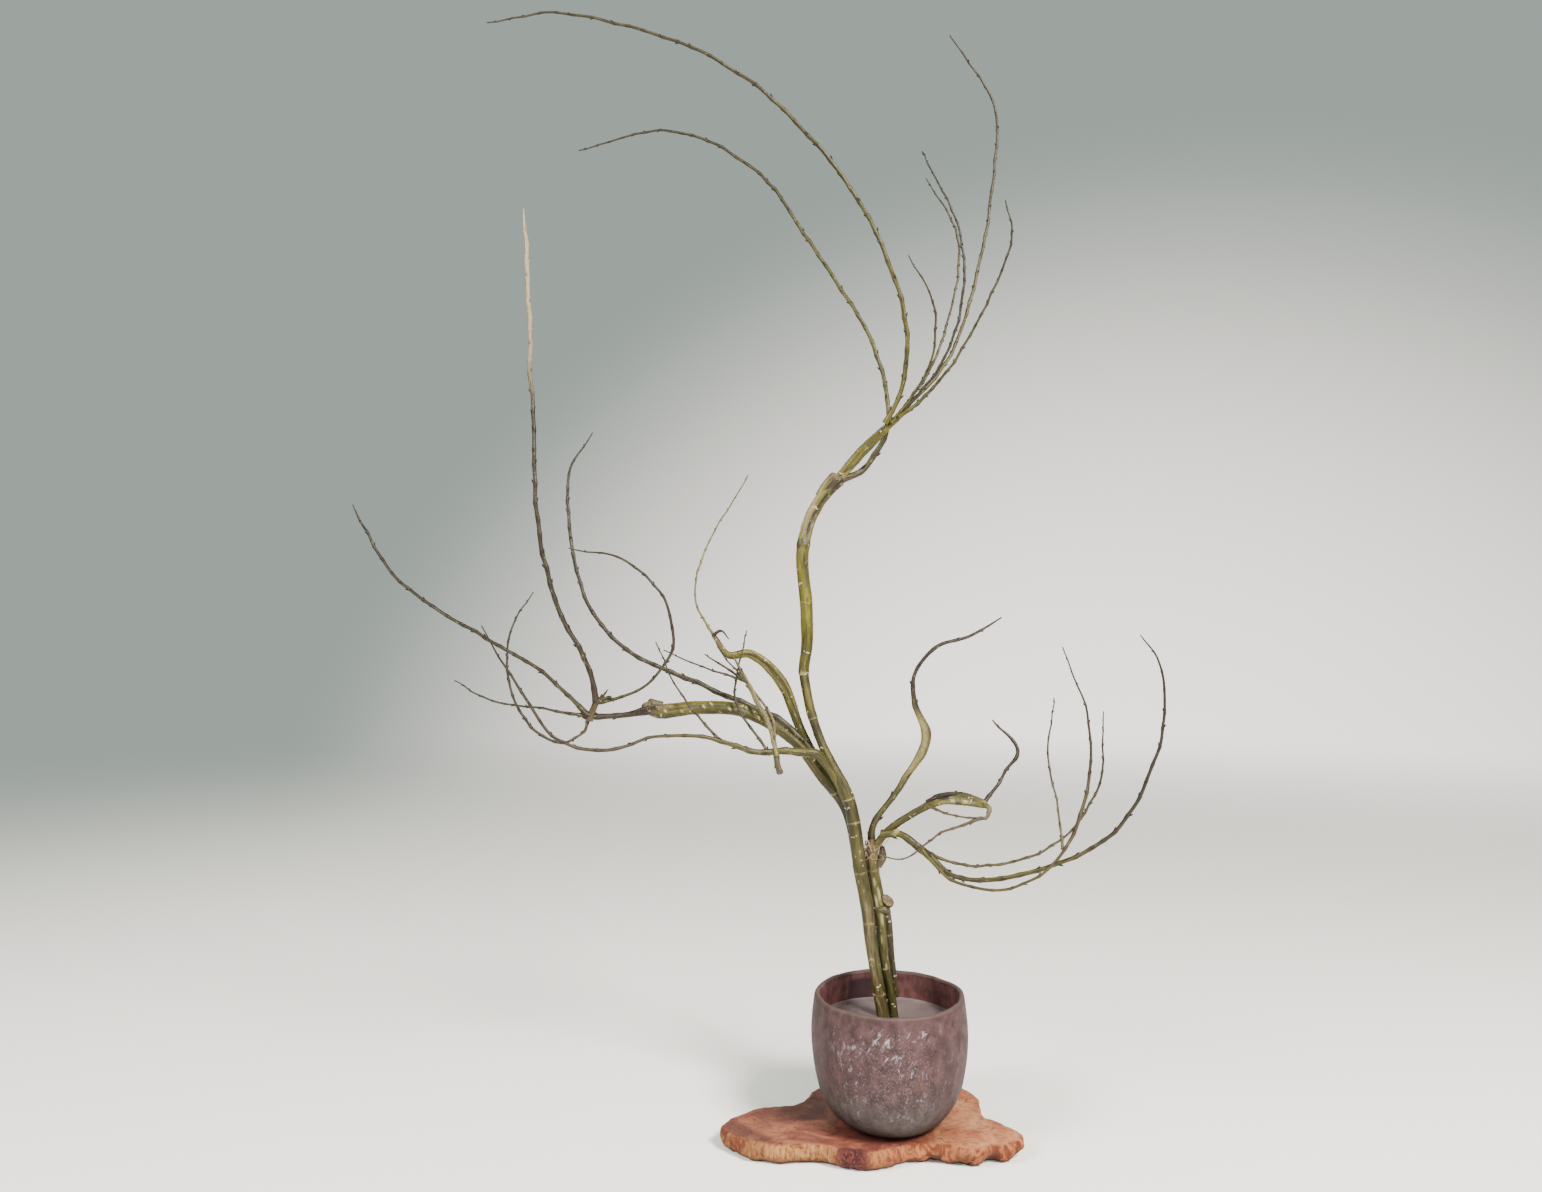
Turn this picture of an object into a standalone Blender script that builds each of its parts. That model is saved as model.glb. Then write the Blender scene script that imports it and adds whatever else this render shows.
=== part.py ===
"""Ikebana arrangement: fantail willow in a round stoneware vase, on a burl board.

Three cuttings of fasciated willow stand in water on a pin holder. Each cutting
grew as one piece, so each is one object with all its twigs and buds.

Units are metres and +Z is up. The origin lies on the board's flat underside,
below the middle of the vase. -Y is the front.
"""
import math
import random
from collections import namedtuple

import bmesh
import bpy
import numpy as np
from mathutils import Matrix, Vector

CLEARANCE = 0.0003                # gap left between pieces that touch
SHARP_ANGLE = math.radians(40)

# Board: a slab with its natural edge, cut in a little at the underside.
BOARD_THICKNESS = 0.026
BOARD_SEGMENTS = 56
BOARD_OUTLINE = [                 # counter-clockwise from the left tip
    (-0.22, -0.015), (-0.20, -0.05), (-0.15, -0.07), (-0.09, -0.07), (-0.06, -0.085),
    (-0.02, -0.085), (0.02, -0.07), (0.06, -0.07), (0.09, -0.08), (0.12, -0.07),
    (0.15, -0.065), (0.165, -0.04), (0.15, -0.01), (0.125, 0.02), (0.13, 0.06),
    (0.11, 0.105), (0.06, 0.12), (-0.04, 0.12), (-0.09, 0.10), (-0.12, 0.05),
    (-0.17, 0.04), (-0.20, 0.015),
]
# Each level of the edge: height as a share of the thickness, how far in it lies.
BOARD_EDGE = [(0.0, 0.011), (0.22, 0.004), (0.5, 0.0), (0.8, 0.0005), (1.0, 0.003)]
BOARD_WANDER = 0.0012             # how much each level of the edge wanders
WANDER_WAVES = (3, 5, 8, 13)      # waves of that wander round the board
OUTLINE_SPACING = 0.002           # between the outline's points before they are thinned

# Vase: turned, measured up from its foot.
VASE_WALL = 0.007
VASE_FLOOR = 0.009
VASE_SEGMENTS = 32
FOOT_RADIUS = 0.050
FOOT_RING = 0.009                 # width of the ring that it stands on
FOOT_RECESS = 0.003
FLOOR_ROUND = 0.008               # how far the inside's corner at the floor is rounded
WALL_POINT_GAP = 0.004            # least height between the water's edge and its next point
LIP_POINTS = 6                    # points round the lip's half circle
VASE_OUTSIDE = [                  # (radius, height) from the lip down to the foot
    (0.097, 0.160), (0.100, 0.135), (0.101, 0.110), (0.097, 0.070),
    (0.088, 0.036), (0.070, 0.011), (FOOT_RADIUS, 0.0),
]
PROFILE_SPACING = 0.018
VASE_BASE = BOARD_THICKNESS + CLEARANCE
VASE_HEIGHT = VASE_OUTSIDE[0][1] + VASE_WALL / 2
WATER_DEPTH_BELOW_LIP = 0.039
WATER_LEVEL = VASE_BASE + VASE_HEIGHT - WATER_DEPTH_BELOW_LIP
STEM_HOLE_GAP = 0.0005            # between a stem and the hole it stands in
HOLE_ABOVE_WATER = 0.03           # how far a hole's cutter stands out of the water

# Pin holder: a heavy disc with rows of pins, on the vase's floor.
KENZAN_CENTRE = (0.012, -0.001)
KENZAN_RADIUS = 0.040
KENZAN_THICKNESS = 0.008
KENZAN_BASE = VASE_BASE + VASE_FLOOR + CLEARANCE
PIN_HEIGHT = 0.013
PIN_RADIUS = 0.0009
PIN_PITCH = 0.0085
PIN_TIP = 0.4                     # tip radius as a share of the pin's
PIN_ROOT = 0.002                  # how deep the pins are set in the disc
PIN_EDGE = 0.004                  # bare rim of the disc
PIN_MARGIN = 0.0015               # room between a pin and a stem
DISC_SEGMENTS = 32
FOOT_TILT = 0.0016                # room for the tilt of the stems' cut feet
STEM_FOOT = KENZAN_BASE + KENZAN_THICKNESS + FOOT_TILT

# Where several shoots part from one another.
STEM_TOP = (-0.065, 0.03, 0.865)
FAN_ROOT = (0.01, 0.005, 0.94)
SPRIG_HEAD = (-0.185, -0.015, 0.595)
DARK_KNOT = (-0.39, -0.03, 0.55)
KNUCKLE_TOP = (-0.38, -0.035, 0.57)
CURL_END = (-0.23, -0.01, 0.655)
RIGHT_HEAD = (-0.02, 0.01, 0.37)
LEAF_END = (0.115, -0.05, 0.44)
LEAF_LOWER_END = (0.11, -0.06, 0.425)

# A shoot is a length of stem or twig. Its route is a list of (x, y, z, width),
# to the nearest 5 mm, with a point at each end and at each bend.
# flat is its thickness as a share of its width.
Shoot = namedtuple("Shoot", "name flat route")

MAIN_BRANCH = [
    Shoot("stem", 0.92, [
        (0.01, -0.01, STEM_FOOT, 0.016), (-0.01, -0.01, 0.17, 0.016),
        (-0.025, -0.01, 0.26, 0.0155), (-0.035, -0.005, 0.34, 0.0175),
        (-0.05, -0.005, 0.43, 0.0165), (-0.09, 0.0, 0.52, 0.012),
        (-0.11, 0.005, 0.60, 0.013), (-0.105, 0.01, 0.65, 0.016),
        (-0.11, 0.015, 0.78, 0.017), (-0.09, 0.025, 0.835, 0.017),
        (-0.06, 0.03, 0.865, 0.015),
    ]),
    Shoot("twisted_ribbon", 0.40, [
        (*STEM_TOP, 0.010), (-0.035, 0.02, 0.91, 0.014), (0.015, 0.005, 0.945, 0.008),
    ]),
    Shoot("lower_arm", 0.85, [
        (*STEM_TOP, 0.010), (-0.025, 0.04, 0.885, 0.009), (0.0, 0.035, 0.925, 0.007),
        (0.01, 0.03, 0.955, 0.006),
    ]),
    Shoot("lower_long_twig", 1.0, [
        (0.01, 0.03, 0.95, 0.006), (-0.01, 0.04, 1.05, 0.0055), (-0.09, 0.07, 1.20, 0.005),
        (-0.17, 0.09, 1.32, 0.0045), (-0.30, 0.12, 1.40, 0.0035), (-0.44, 0.14, 1.38, 0.002),
    ]),
    Shoot("upper_long_twig", 1.0, [
        (0.0, 0.005, 0.94, 0.006), (0.02, -0.005, 0.98, 0.006), (0.025, -0.02, 1.06, 0.006),
        (-0.02, -0.04, 1.19, 0.0055), (-0.12, -0.06, 1.32, 0.005),
        (-0.24, -0.08, 1.40, 0.004), (-0.42, -0.10, 1.44, 0.003),
        (-0.51, -0.11, 1.42, 0.0015),
    ]),
    Shoot("fan_inner_curl", 1.0, [
        (*FAN_ROOT, 0.004), (0.05, -0.03, 1.0, 0.003), (0.06, -0.05, 1.05, 0.003),
        (0.05, -0.07, 1.09, 0.0025), (0.02, -0.085, 1.135, 0.0015),
    ]),
    Shoot("fan_back", 1.0, [
        (*FAN_ROOT, 0.004), (0.065, 0.025, 1.02, 0.0035), (0.10, 0.05, 1.12, 0.003),
        (0.11, 0.07, 1.22, 0.003), (0.07, 0.09, 1.315, 0.0015),
    ]),
    Shoot("fan_dark", 1.0, [
        (*FAN_ROOT, 0.004), (0.07, -0.01, 1.01, 0.0035), (0.10, -0.02, 1.10, 0.0035),
        (0.095, -0.02, 1.20, 0.003), (0.05, 0.0, 1.31, 0.002),
    ]),
    Shoot("fan_tall", 1.0, [
        (*FAN_ROOT, 0.0055), (0.09, 0.04, 1.035, 0.0045), (0.13, 0.06, 1.14, 0.0045),
        (0.16, 0.075, 1.28, 0.004), (0.165, 0.07, 1.41, 0.0035), (0.10, 0.055, 1.505, 0.002),
    ]),
    Shoot("fan_front", 1.0, [
        (*FAN_ROOT, 0.006), (0.06, -0.03, 0.98, 0.004), (0.12, -0.08, 1.075, 0.003),
        (0.145, -0.11, 1.15, 0.0025), (0.135, -0.12, 1.19, 0.0015),
    ]),
    Shoot("slender_stem", 0.95, [
        (-0.055, 0.0, 0.435, 0.009), (-0.09, -0.01, 0.495, 0.011),
        (-0.13, -0.025, 0.505, 0.009), (-0.17, -0.035, 0.505, 0.0075),
        (-0.24, -0.045, 0.525, 0.005), (-0.30, -0.055, 0.525, 0.004),
        (-0.365, -0.07, 0.51, 0.0045), (-0.42, -0.08, 0.525, 0.004),
        (-0.465, -0.095, 0.59, 0.0035), (-0.505, -0.115, 0.665, 0.0015),
    ]),
    Shoot("slender_side_twig", 1.0, [
        (-0.155, -0.03, 0.50, 0.004), (-0.20, -0.02, 0.57, 0.003),
        (-0.185, -0.005, 0.66, 0.0015),
    ]),
    Shoot("slender_second_twig", 1.0, [
        (-0.22, -0.04, 0.52, 0.004), (-0.27, -0.03, 0.58, 0.0025),
        (-0.305, -0.03, 0.645, 0.0015),
    ]),
    Shoot("sprig", 0.70, [
        (-0.145, -0.04, 0.485, 0.0065), (-0.155, -0.03, 0.53, 0.0055), (*SPRIG_HEAD, 0.0055),
        (-0.205, -0.015, 0.63, 0.0015),
    ]),
    Shoot("sprig_strand", 0.80, [
        (-0.15, -0.03, 0.515, 0.004), (-0.155, -0.02, 0.55, 0.004), (*SPRIG_HEAD, 0.002),
    ]),
    Shoot("sprig_low_twig", 1.0, [
        (*SPRIG_HEAD, 0.0035), (-0.23, -0.04, 0.61, 0.0025), (-0.29, -0.06, 0.635, 0.0015),
    ]),
    Shoot("sprig_middle_twig", 1.0, [
        (*SPRIG_HEAD, 0.0035), (-0.225, -0.03, 0.62, 0.0025), (-0.24, -0.03, 0.63, 0.0015),
    ]),
    Shoot("sprig_high_twig", 1.0, [
        (*SPRIG_HEAD, 0.003), (-0.21, -0.02, 0.62, 0.002), (-0.225, -0.025, 0.64, 0.0015),
    ]),
]

LEFT_BRANCH = [
    Shoot("stem", 0.85, [
        (0.005, 0.015, STEM_FOOT, 0.012), (-0.005, 0.015, 0.17, 0.012),
        (-0.03, 0.015, 0.30, 0.012), (-0.055, 0.01, 0.42, 0.011),
        (-0.085, 0.01, 0.465, 0.014), (-0.125, 0.005, 0.515, 0.013),
        (-0.19, -0.005, 0.555, 0.017), (-0.25, -0.01, 0.56, 0.0175),
        (-0.30, -0.015, 0.555, 0.019), (-0.315, -0.015, 0.56, 0.0165),
    ]),
    Shoot("dark_end", 0.90, [
        (-0.305, -0.015, 0.56, 0.012), (-0.345, -0.02, 0.55, 0.007), (-0.395, -0.03, 0.55, 0.0085),
    ]),
    Shoot("far_left_twig", 1.0, [
        (*DARK_KNOT, 0.0075), (-0.41, -0.025, 0.57, 0.0055), (-0.46, -0.015, 0.61, 0.005),
        (-0.61, 0.015, 0.695, 0.0045), (-0.67, 0.03, 0.74, 0.004), (-0.71, 0.04, 0.80, 0.0035),
        (-0.73, 0.045, 0.835, 0.0015),
    ]),
    Shoot("level_twig", 1.0, [
        (*DARK_KNOT, 0.005), (-0.45, -0.03, 0.56, 0.003), (-0.52, -0.015, 0.57, 0.0025),
        (-0.575, 0.0, 0.595, 0.0015),
    ]),
    Shoot("drooping_twig", 1.0, [
        (*DARK_KNOT, 0.005), (-0.395, -0.045, 0.53, 0.0035), (-0.42, -0.06, 0.52, 0.0035),
        (-0.46, -0.07, 0.545, 0.0035), (-0.485, -0.07, 0.61, 0.003),
        (-0.48, -0.06, 0.67, 0.0025), (-0.46, -0.045, 0.71, 0.0015),
    ]),
    Shoot("knuckle", 0.95, [
        (-0.39, -0.03, 0.545, 0.0075), (*KNUCKLE_TOP, 0.008),
    ]),
    Shoot("tall_twig", 0.95, [
        (*KNUCKLE_TOP, 0.0075), (-0.385, -0.04, 0.60, 0.0065), (-0.43, -0.055, 0.70, 0.006),
        (-0.45, -0.065, 0.80, 0.0055), (-0.46, -0.06, 0.95, 0.005), (-0.475, -0.04, 1.17, 0.005),
        (-0.48, -0.035, 1.215, 0.002),
    ]),
    Shoot("looping_twig", 1.0, [
        (*KNUCKLE_TOP, 0.0065), (-0.35, -0.04, 0.575, 0.004), (-0.31, -0.045, 0.595, 0.0035),
        (-0.28, -0.045, 0.64, 0.004), (-0.29, -0.05, 0.70, 0.0035),
        (-0.34, -0.055, 0.75, 0.003), (-0.41, -0.065, 0.765, 0.0015),
    ]),
    Shoot("curled_fork", 0.62, [
        (-0.08, 0.01, 0.46, 0.012), (-0.11, 0.015, 0.52, 0.012), (-0.145, 0.015, 0.60, 0.015),
        (-0.18, 0.01, 0.63, 0.012), (-0.21, 0.0, 0.63, 0.009), (*CURL_END, 0.006),
    ]),
    Shoot("curl_twig", 1.0, [
        (*CURL_END, 0.0035), (-0.255, 0.0, 0.70, 0.0025), (-0.25, 0.01, 0.75, 0.0025),
        (-0.185, 0.04, 0.875, 0.0015),
    ]),
    Shoot("curl_spur", 1.0, [
        (*CURL_END, 0.004), (-0.22, -0.015, 0.66, 0.003), (-0.21, -0.02, 0.65, 0.0015),
    ]),
    Shoot("back_twig", 0.90, [
        (-0.10, 0.01, 0.50, 0.0095), (-0.14, 0.02, 0.54, 0.0085),
        (-0.24, 0.015, 0.585, 0.0065), (-0.35, 0.005, 0.64, 0.0055),
        (-0.40, 0.01, 0.70, 0.005), (-0.43, 0.03, 0.82, 0.0045),
        (-0.43, 0.035, 0.88, 0.0035), (-0.40, 0.045, 0.935, 0.0015),
    ]),
]

RIGHT_BRANCH = [
    Shoot("stem", 0.85, [
        (0.02, 0.005, STEM_FOOT, 0.013), (0.005, 0.005, 0.17, 0.013),
        (-0.005, 0.005, 0.23, 0.014), (-0.01, 0.005, 0.27, 0.015),
        (-0.015, 0.01, 0.31, 0.019), (-0.02, 0.01, 0.345, 0.019),
        (-0.02, 0.01, 0.38, 0.0155),
    ]),
    Shoot("second_stem", 0.90, [
        (0.01, 0.01, 0.18, 0.010), (0.005, 0.01, 0.23, 0.009), (0.0, 0.01, 0.28, 0.0095),
        (-0.005, 0.01, 0.305, 0.011),
    ]),
    Shoot("upper_flat_shoot", 0.62, [
        (*RIGHT_HEAD, 0.009), (-0.02, 0.01, 0.40, 0.0085), (0.02, 0.02, 0.455, 0.0075),
        (0.05, 0.025, 0.50, 0.0115), (0.055, 0.03, 0.525, 0.0115), (0.04, 0.03, 0.565, 0.007),
        (0.04, 0.03, 0.60, 0.005), (0.07, 0.03, 0.64, 0.005), (0.12, 0.035, 0.655, 0.004),
        (0.16, 0.04, 0.68, 0.002),
    ]),
    Shoot("leaf_like_shoot", 0.50, [
        (*RIGHT_HEAD, 0.0105), (0.0, -0.005, 0.40, 0.010), (0.06, -0.03, 0.44, 0.011),
        (0.09, -0.04, 0.445, 0.0165), (*LEAF_END, 0.011),
    ]),
    Shoot("leaf_curl", 0.70, [
        (*LEAF_END, 0.006), (0.12, -0.055, 0.435, 0.005), (0.115, -0.06, 0.425, 0.0045),
        (*LEAF_LOWER_END, 0.004),
    ]),
    Shoot("leaf_tip_twig", 1.0, [
        (*LEAF_END, 0.005), (0.15, -0.035, 0.48, 0.004), (0.165, -0.03, 0.505, 0.005),
        (0.135, -0.02, 0.545, 0.002),
    ]),
    Shoot("leaf_under_twig", 1.0, [
        (0.045, -0.025, 0.435, 0.004), (0.08, -0.045, 0.425, 0.0025),
        (*LEAF_LOWER_END, 0.0025),
    ]),
    Shoot("falling_twig", 1.0, [
        (*LEAF_LOWER_END, 0.004), (0.06, -0.06, 0.405, 0.003), (0.01, -0.045, 0.37, 0.002),
        (-0.04, -0.03, 0.385, 0.0015),
    ]),
    Shoot("long_right_twig", 0.95, [
        (-0.01, -0.005, 0.395, 0.009), (0.015, -0.015, 0.395, 0.0085),
        (0.045, -0.03, 0.375, 0.009), (0.08, -0.05, 0.35, 0.006),
        (0.12, -0.07, 0.35, 0.006), (0.23, -0.11, 0.395, 0.005),
        (0.275, -0.13, 0.445, 0.0045), (0.31, -0.145, 0.55, 0.0035),
        (0.305, -0.145, 0.625, 0.0025), (0.285, -0.145, 0.655, 0.0015),
    ]),
    Shoot("upper_right_twig", 1.0, [
        (0.03, -0.02, 0.385, 0.0055), (0.06, -0.03, 0.37, 0.004),
        (0.11, -0.035, 0.36, 0.0035), (0.17, -0.04, 0.37, 0.0035),
        (0.22, -0.035, 0.395, 0.003), (0.27, -0.025, 0.46, 0.003),
        (0.28, -0.015, 0.555, 0.0015),
    ]),
    Shoot("lower_right_twig", 1.0, [
        (0.04, -0.03, 0.38, 0.006), (0.07, -0.06, 0.35, 0.004), (0.12, -0.085, 0.34, 0.0035),
        (0.18, -0.105, 0.37, 0.0035), (0.22, -0.105, 0.43, 0.0045),
        (0.24, -0.09, 0.54, 0.003), (0.21, -0.08, 0.64, 0.0015),
    ]),
    Shoot("upright_twig", 1.0, [
        (0.20, -0.105, 0.395, 0.0035), (0.20, -0.08, 0.45, 0.0025),
        (0.195, -0.065, 0.50, 0.0025), (0.205, -0.055, 0.575, 0.0015),
    ]),
]

# Buds and stem sections.
BUD_SPACING = 0.070
BUD_TURN = math.radians(144.0)    # willow buds sit on a two-fifths spiral
BUD_MAX_WIDTH = 0.0095            # thicker wood has lost its buds
BUD_LEAST_RADIUS = 0.0006
BUD_RADIUS_SHARE = 0.22           # how a bud's radius grows with its twig's width
BUD_SLENDERNESS = 3.4             # length in radii
BUD_ROOT = 0.30                   # how far out of the twig's middle it starts, in widths
BUD_SINK = 0.5                    # how far its base is sunk below that, in radii
BUD_ALONG = 0.85                  # how much it leans along the twig and out from it
BUD_OUT = 0.55
STATION_PER_WIDTH = 4.5           # spacing of a shoot's sections, in widths
STATION_RANGE = (0.016, 0.026)
SIDES_THICK = 8
SIDES_THIN = 5
THICK_WIDTH = 0.0075             # mean width above which a shoot gets more sides


def curve_through(points, spacing, closed=False):
    """Points about `spacing` apart on a centripetal Catmull-Rom curve."""
    pts = np.array(points, dtype=float)
    if closed:
        pts = np.vstack([pts[-1], pts, pts[0], pts[1]])
    else:
        pts = np.vstack([2 * pts[0] - pts[1], pts, 2 * pts[-1] - pts[-2]])
    out = []
    for p0, p1, p2, p3 in zip(pts, pts[1:], pts[2:], pts[3:]):
        t0 = 0.0
        t1 = t0 + math.sqrt(np.linalg.norm(p1 - p0))
        t2 = t1 + math.sqrt(np.linalg.norm(p2 - p1))
        t3 = t2 + math.sqrt(np.linalg.norm(p3 - p2))
        steps = max(1, round(np.linalg.norm(p2 - p1) / spacing))
        for t in np.linspace(t1, t2, steps, endpoint=False):
            a1 = ((t1 - t) * p0 + (t - t0) * p1) / (t1 - t0)
            a2 = ((t2 - t) * p1 + (t - t1) * p2) / (t2 - t1)
            a3 = ((t3 - t) * p2 + (t - t2) * p3) / (t3 - t2)
            b1 = ((t2 - t) * a1 + (t - t0) * a2) / (t2 - t0)
            b2 = ((t3 - t) * a2 + (t - t1) * a3) / (t3 - t1)
            out.append(((t2 - t) * b1 + (t - t1) * b2) / (t2 - t1))
    if not closed:
        out.append(pts[-2])
    return np.array(out)


def new_object(name, mesh, collection):
    obj = bpy.data.objects.new(name, mesh)
    collection.objects.link(obj)
    return obj


def mesh_object(name, bm, collection):
    """An object of the bmesh, smooth except at its sharp edges."""
    mesh = bpy.data.meshes.new(name)
    bm.to_mesh(mesh)
    bm.free()
    mesh.shade_smooth()
    mesh.set_sharp_from_angle(angle=SHARP_ANGLE)
    return new_object(name, mesh, collection)


def material(name, colour, roughness, metallic=0.0):
    mat = bpy.data.materials.new(name)
    mat.use_nodes = True
    shader = mat.node_tree.nodes["Principled BSDF"]
    shader.inputs["Base Color"].default_value = (*colour, 1.0)
    shader.inputs["Roughness"].default_value = roughness
    shader.inputs["Metallic"].default_value = metallic
    return mat


def apply_modifiers(obj):
    """Put the object's evaluated mesh in place of its mesh and modifiers."""
    graph = bpy.context.evaluated_depsgraph_get()
    mesh = bpy.data.meshes.new_from_object(obj.evaluated_get(graph))
    obj.modifiers.clear()
    obj.data = mesh


def combine(obj, others, operation):
    """Join or cut the object with all the others at once, then remove them."""
    tools = bpy.data.collections.new(obj.name + "_tools")
    bpy.context.scene.collection.children.link(tools)
    for other in others:
        for owner in list(other.users_collection):
            owner.objects.unlink(other)
        tools.objects.link(other)
    boolean = obj.modifiers.new("Combine", "BOOLEAN")
    boolean.operation = operation
    boolean.solver = "EXACT"
    boolean.operand_type = "COLLECTION"
    boolean.collection = tools
    apply_modifiers(obj)
    for other in others:
        bpy.data.objects.remove(other)
    bpy.data.collections.remove(tools)


# ---------------------------------------------------------------- branches

def station_frames(stations):
    """Tangent, sideways and forward axes along a shoot; forward faces the front."""
    points = stations[:, :3]
    tangents = np.gradient(points, axis=0)
    tangents /= np.linalg.norm(tangents, axis=1, keepdims=True)
    front = np.array([0.0, -1.0, 0.0])
    forward = front - tangents * (tangents @ front)[:, None]
    forward /= np.linalg.norm(forward, axis=1, keepdims=True)
    sideways = np.cross(forward, tangents)
    return tangents, sideways, forward


def shoot_stations(shoot):
    """Sections along a shoot, closest together where it is thin."""
    mean_width = sum(point[3] for point in shoot.route) / len(shoot.route)
    spacing = STATION_PER_WIDTH * mean_width
    spacing = min(max(spacing, STATION_RANGE[0]), STATION_RANGE[1])
    return curve_through(shoot.route, spacing)


def ring_stack(sides, count):
    """A closed stack of rings; each ring's vertices are in order of turn."""
    bm = bmesh.new()
    bmesh.ops.create_cone(bm, cap_ends=True, segments=sides, radius1=1, radius2=1, depth=2)
    end = max(bm.faces, key=lambda face: face.calc_center_median().z)
    rings = [[vert for vert in bm.verts if vert.co.z < 0], list(end.verts)]
    while len(rings) < count:
        end = bmesh.ops.extrude_discrete_faces(bm, faces=[end])["faces"][0]
        rings.append(list(end.verts))
    for ring in rings:
        ring.sort(key=lambda vert: math.atan2(vert.co.y, vert.co.x))
    return bm, rings


def sweep(name, stations, flat, extra, collection):
    """A shoot: an oval section carried along the stations, closed at both ends."""
    sides = SIDES_THICK if stations[:, 3].mean() > THICK_WIDTH else SIDES_THIN
    _, sideways, forward = station_frames(stations)
    bm, rings = ring_stack(sides, len(stations))
    turns = [math.atan2(vert.co.y, vert.co.x) for vert in rings[0]]
    for index, ring in enumerate(rings):
        half = stations[index, 3] / 2 + extra
        for vert, turn in zip(ring, turns):
            across = math.cos(turn) * half * sideways[index]
            through = math.sin(turn) * half * flat * forward[index]
            vert.co = Vector(stations[index, :3] + across + through)
    bmesh.ops.triangulate(bm, faces=bm.faces)
    return mesh_object(name, bm, collection)


def bud_meshes(shoot, stations, draw, collection):
    """Small four-sided buds up a twig, roots sunk in it and tips along it."""
    tangents, sideways, forward = station_frames(stations)
    steps = np.linalg.norm(np.diff(stations[:, :3], axis=0), axis=1)
    along = np.concatenate([[0.0], np.cumsum(steps)])
    buds = []
    place = BUD_SPACING
    turn = draw.uniform(0, math.tau)
    while place < along[-1] - 0.2 * BUD_SPACING:
        index = int(np.searchsorted(along, place))
        width = stations[index, 3]
        if width < BUD_MAX_WIDTH:
            through = shoot.flat * math.sin(turn) * forward[index]
            outward = math.cos(turn) * sideways[index] + through
            lean = Vector(BUD_ALONG * tangents[index] + BUD_OUT * outward).normalized()
            radius = BUD_LEAST_RADIUS + BUD_RADIUS_SHARE * width
            length = BUD_SLENDERNESS * radius
            root = Vector(stations[index, :3] + outward * BUD_ROOT * width)
            bm = bmesh.new()
            bmesh.ops.create_cone(bm, cap_ends=True, segments=4, radius1=radius,
                                  radius2=0.0, depth=length)
            rise = length / 2 - BUD_SINK * radius
            bmesh.ops.translate(bm, verts=bm.verts, vec=(0, 0, rise))
            turned = lean.to_track_quat("Z", "Y").to_matrix().to_4x4()
            bm.transform(Matrix.Translation(root) @ turned)
            buds.append(mesh_object("bud", bm, collection))
        place += BUD_SPACING * draw.uniform(0.8, 1.25)
        turn += BUD_TURN
    return buds


def branch(name, shoots, mat, collection, seed):
    """One cutting: all its shoots and buds fused into one solid."""
    draw = random.Random(seed)
    stem, *rest = shoots
    stations = shoot_stations(stem)
    obj = sweep(name, stations, stem.flat, 0.0, collection)
    others = bud_meshes(stem, stations, draw, collection)
    for shoot in rest:
        stations = shoot_stations(shoot)
        others.append(sweep(shoot.name, stations, shoot.flat, 0.0, collection))
        others += bud_meshes(shoot, stations, draw, collection)
    combine(obj, others, "UNION")
    obj.data.materials.clear()
    obj.data.materials.append(mat)
    return obj


# ------------------------------------------------------------------- board

def board_ring(inset, draw):
    """The board's outline moved in by `inset`, with a slow natural wander."""
    outline = curve_through(BOARD_OUTLINE, OUTLINE_SPACING, closed=True)
    pick = np.linspace(0, len(outline), BOARD_SEGMENTS, endpoint=False).astype(int)
    ring = outline[pick]
    along = np.roll(ring, -1, axis=0) - np.roll(ring, 1, axis=0)
    along /= np.linalg.norm(along, axis=1, keepdims=True)
    outward = np.column_stack([along[:, 1], -along[:, 0]])
    turns = np.linspace(0, math.tau, BOARD_SEGMENTS, endpoint=False)
    wander = sum(draw.uniform(-1, 1) * np.sin(count * turns + draw.uniform(0, math.tau))
                 for count in WANDER_WAVES)
    return ring - outward * (inset + BOARD_WANDER * wander)[:, None]


def burl_board(mat, collection):
    draw = random.Random(11)
    bm, rings = ring_stack(BOARD_SEGMENTS, len(BOARD_EDGE))
    for ring, (share, inset) in zip(rings, BOARD_EDGE):
        for vert, place in zip(ring, board_ring(inset, draw)):
            vert.co = (place[0], place[1], share * BOARD_THICKNESS)
    obj = mesh_object("burl_board", bm, collection)
    obj.data.materials.append(mat)
    return obj


# ------------------------------------------------- vase, water, pin holder

def vase_curves():
    """The vase's outside and inside as (radius, height), both from the top down."""
    outside = curve_through(VASE_OUTSIDE, PROFILE_SPACING)
    along = np.gradient(outside, axis=0)
    along /= np.linalg.norm(along, axis=1, keepdims=True)
    outward = np.column_stack([-along[:, 1], along[:, 0]])
    inside = outside - outward * VASE_WALL
    return outside, inside[inside[:, 1] > VASE_FLOOR + FOOT_RECESS]


def turned(name, profile, base, collection):
    """A solid turned from (radius, height) points that start and end on the axis."""
    bm = bmesh.new()
    verts = [bm.verts.new((radius, 0.0, height)) for radius, height in profile]
    for first, second in zip(verts, verts[1:]):
        bm.edges.new((first, second))
    obj = mesh_object(name, bm, collection)
    obj.location.z = base
    screw = obj.modifiers.new("Turn", "SCREW")
    screw.steps = VASE_SEGMENTS
    screw.render_steps = VASE_SEGMENTS
    screw.use_merge_vertices = True
    screw.merge_threshold = 0.00001
    screw.use_smooth_shade = True
    return obj


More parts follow.
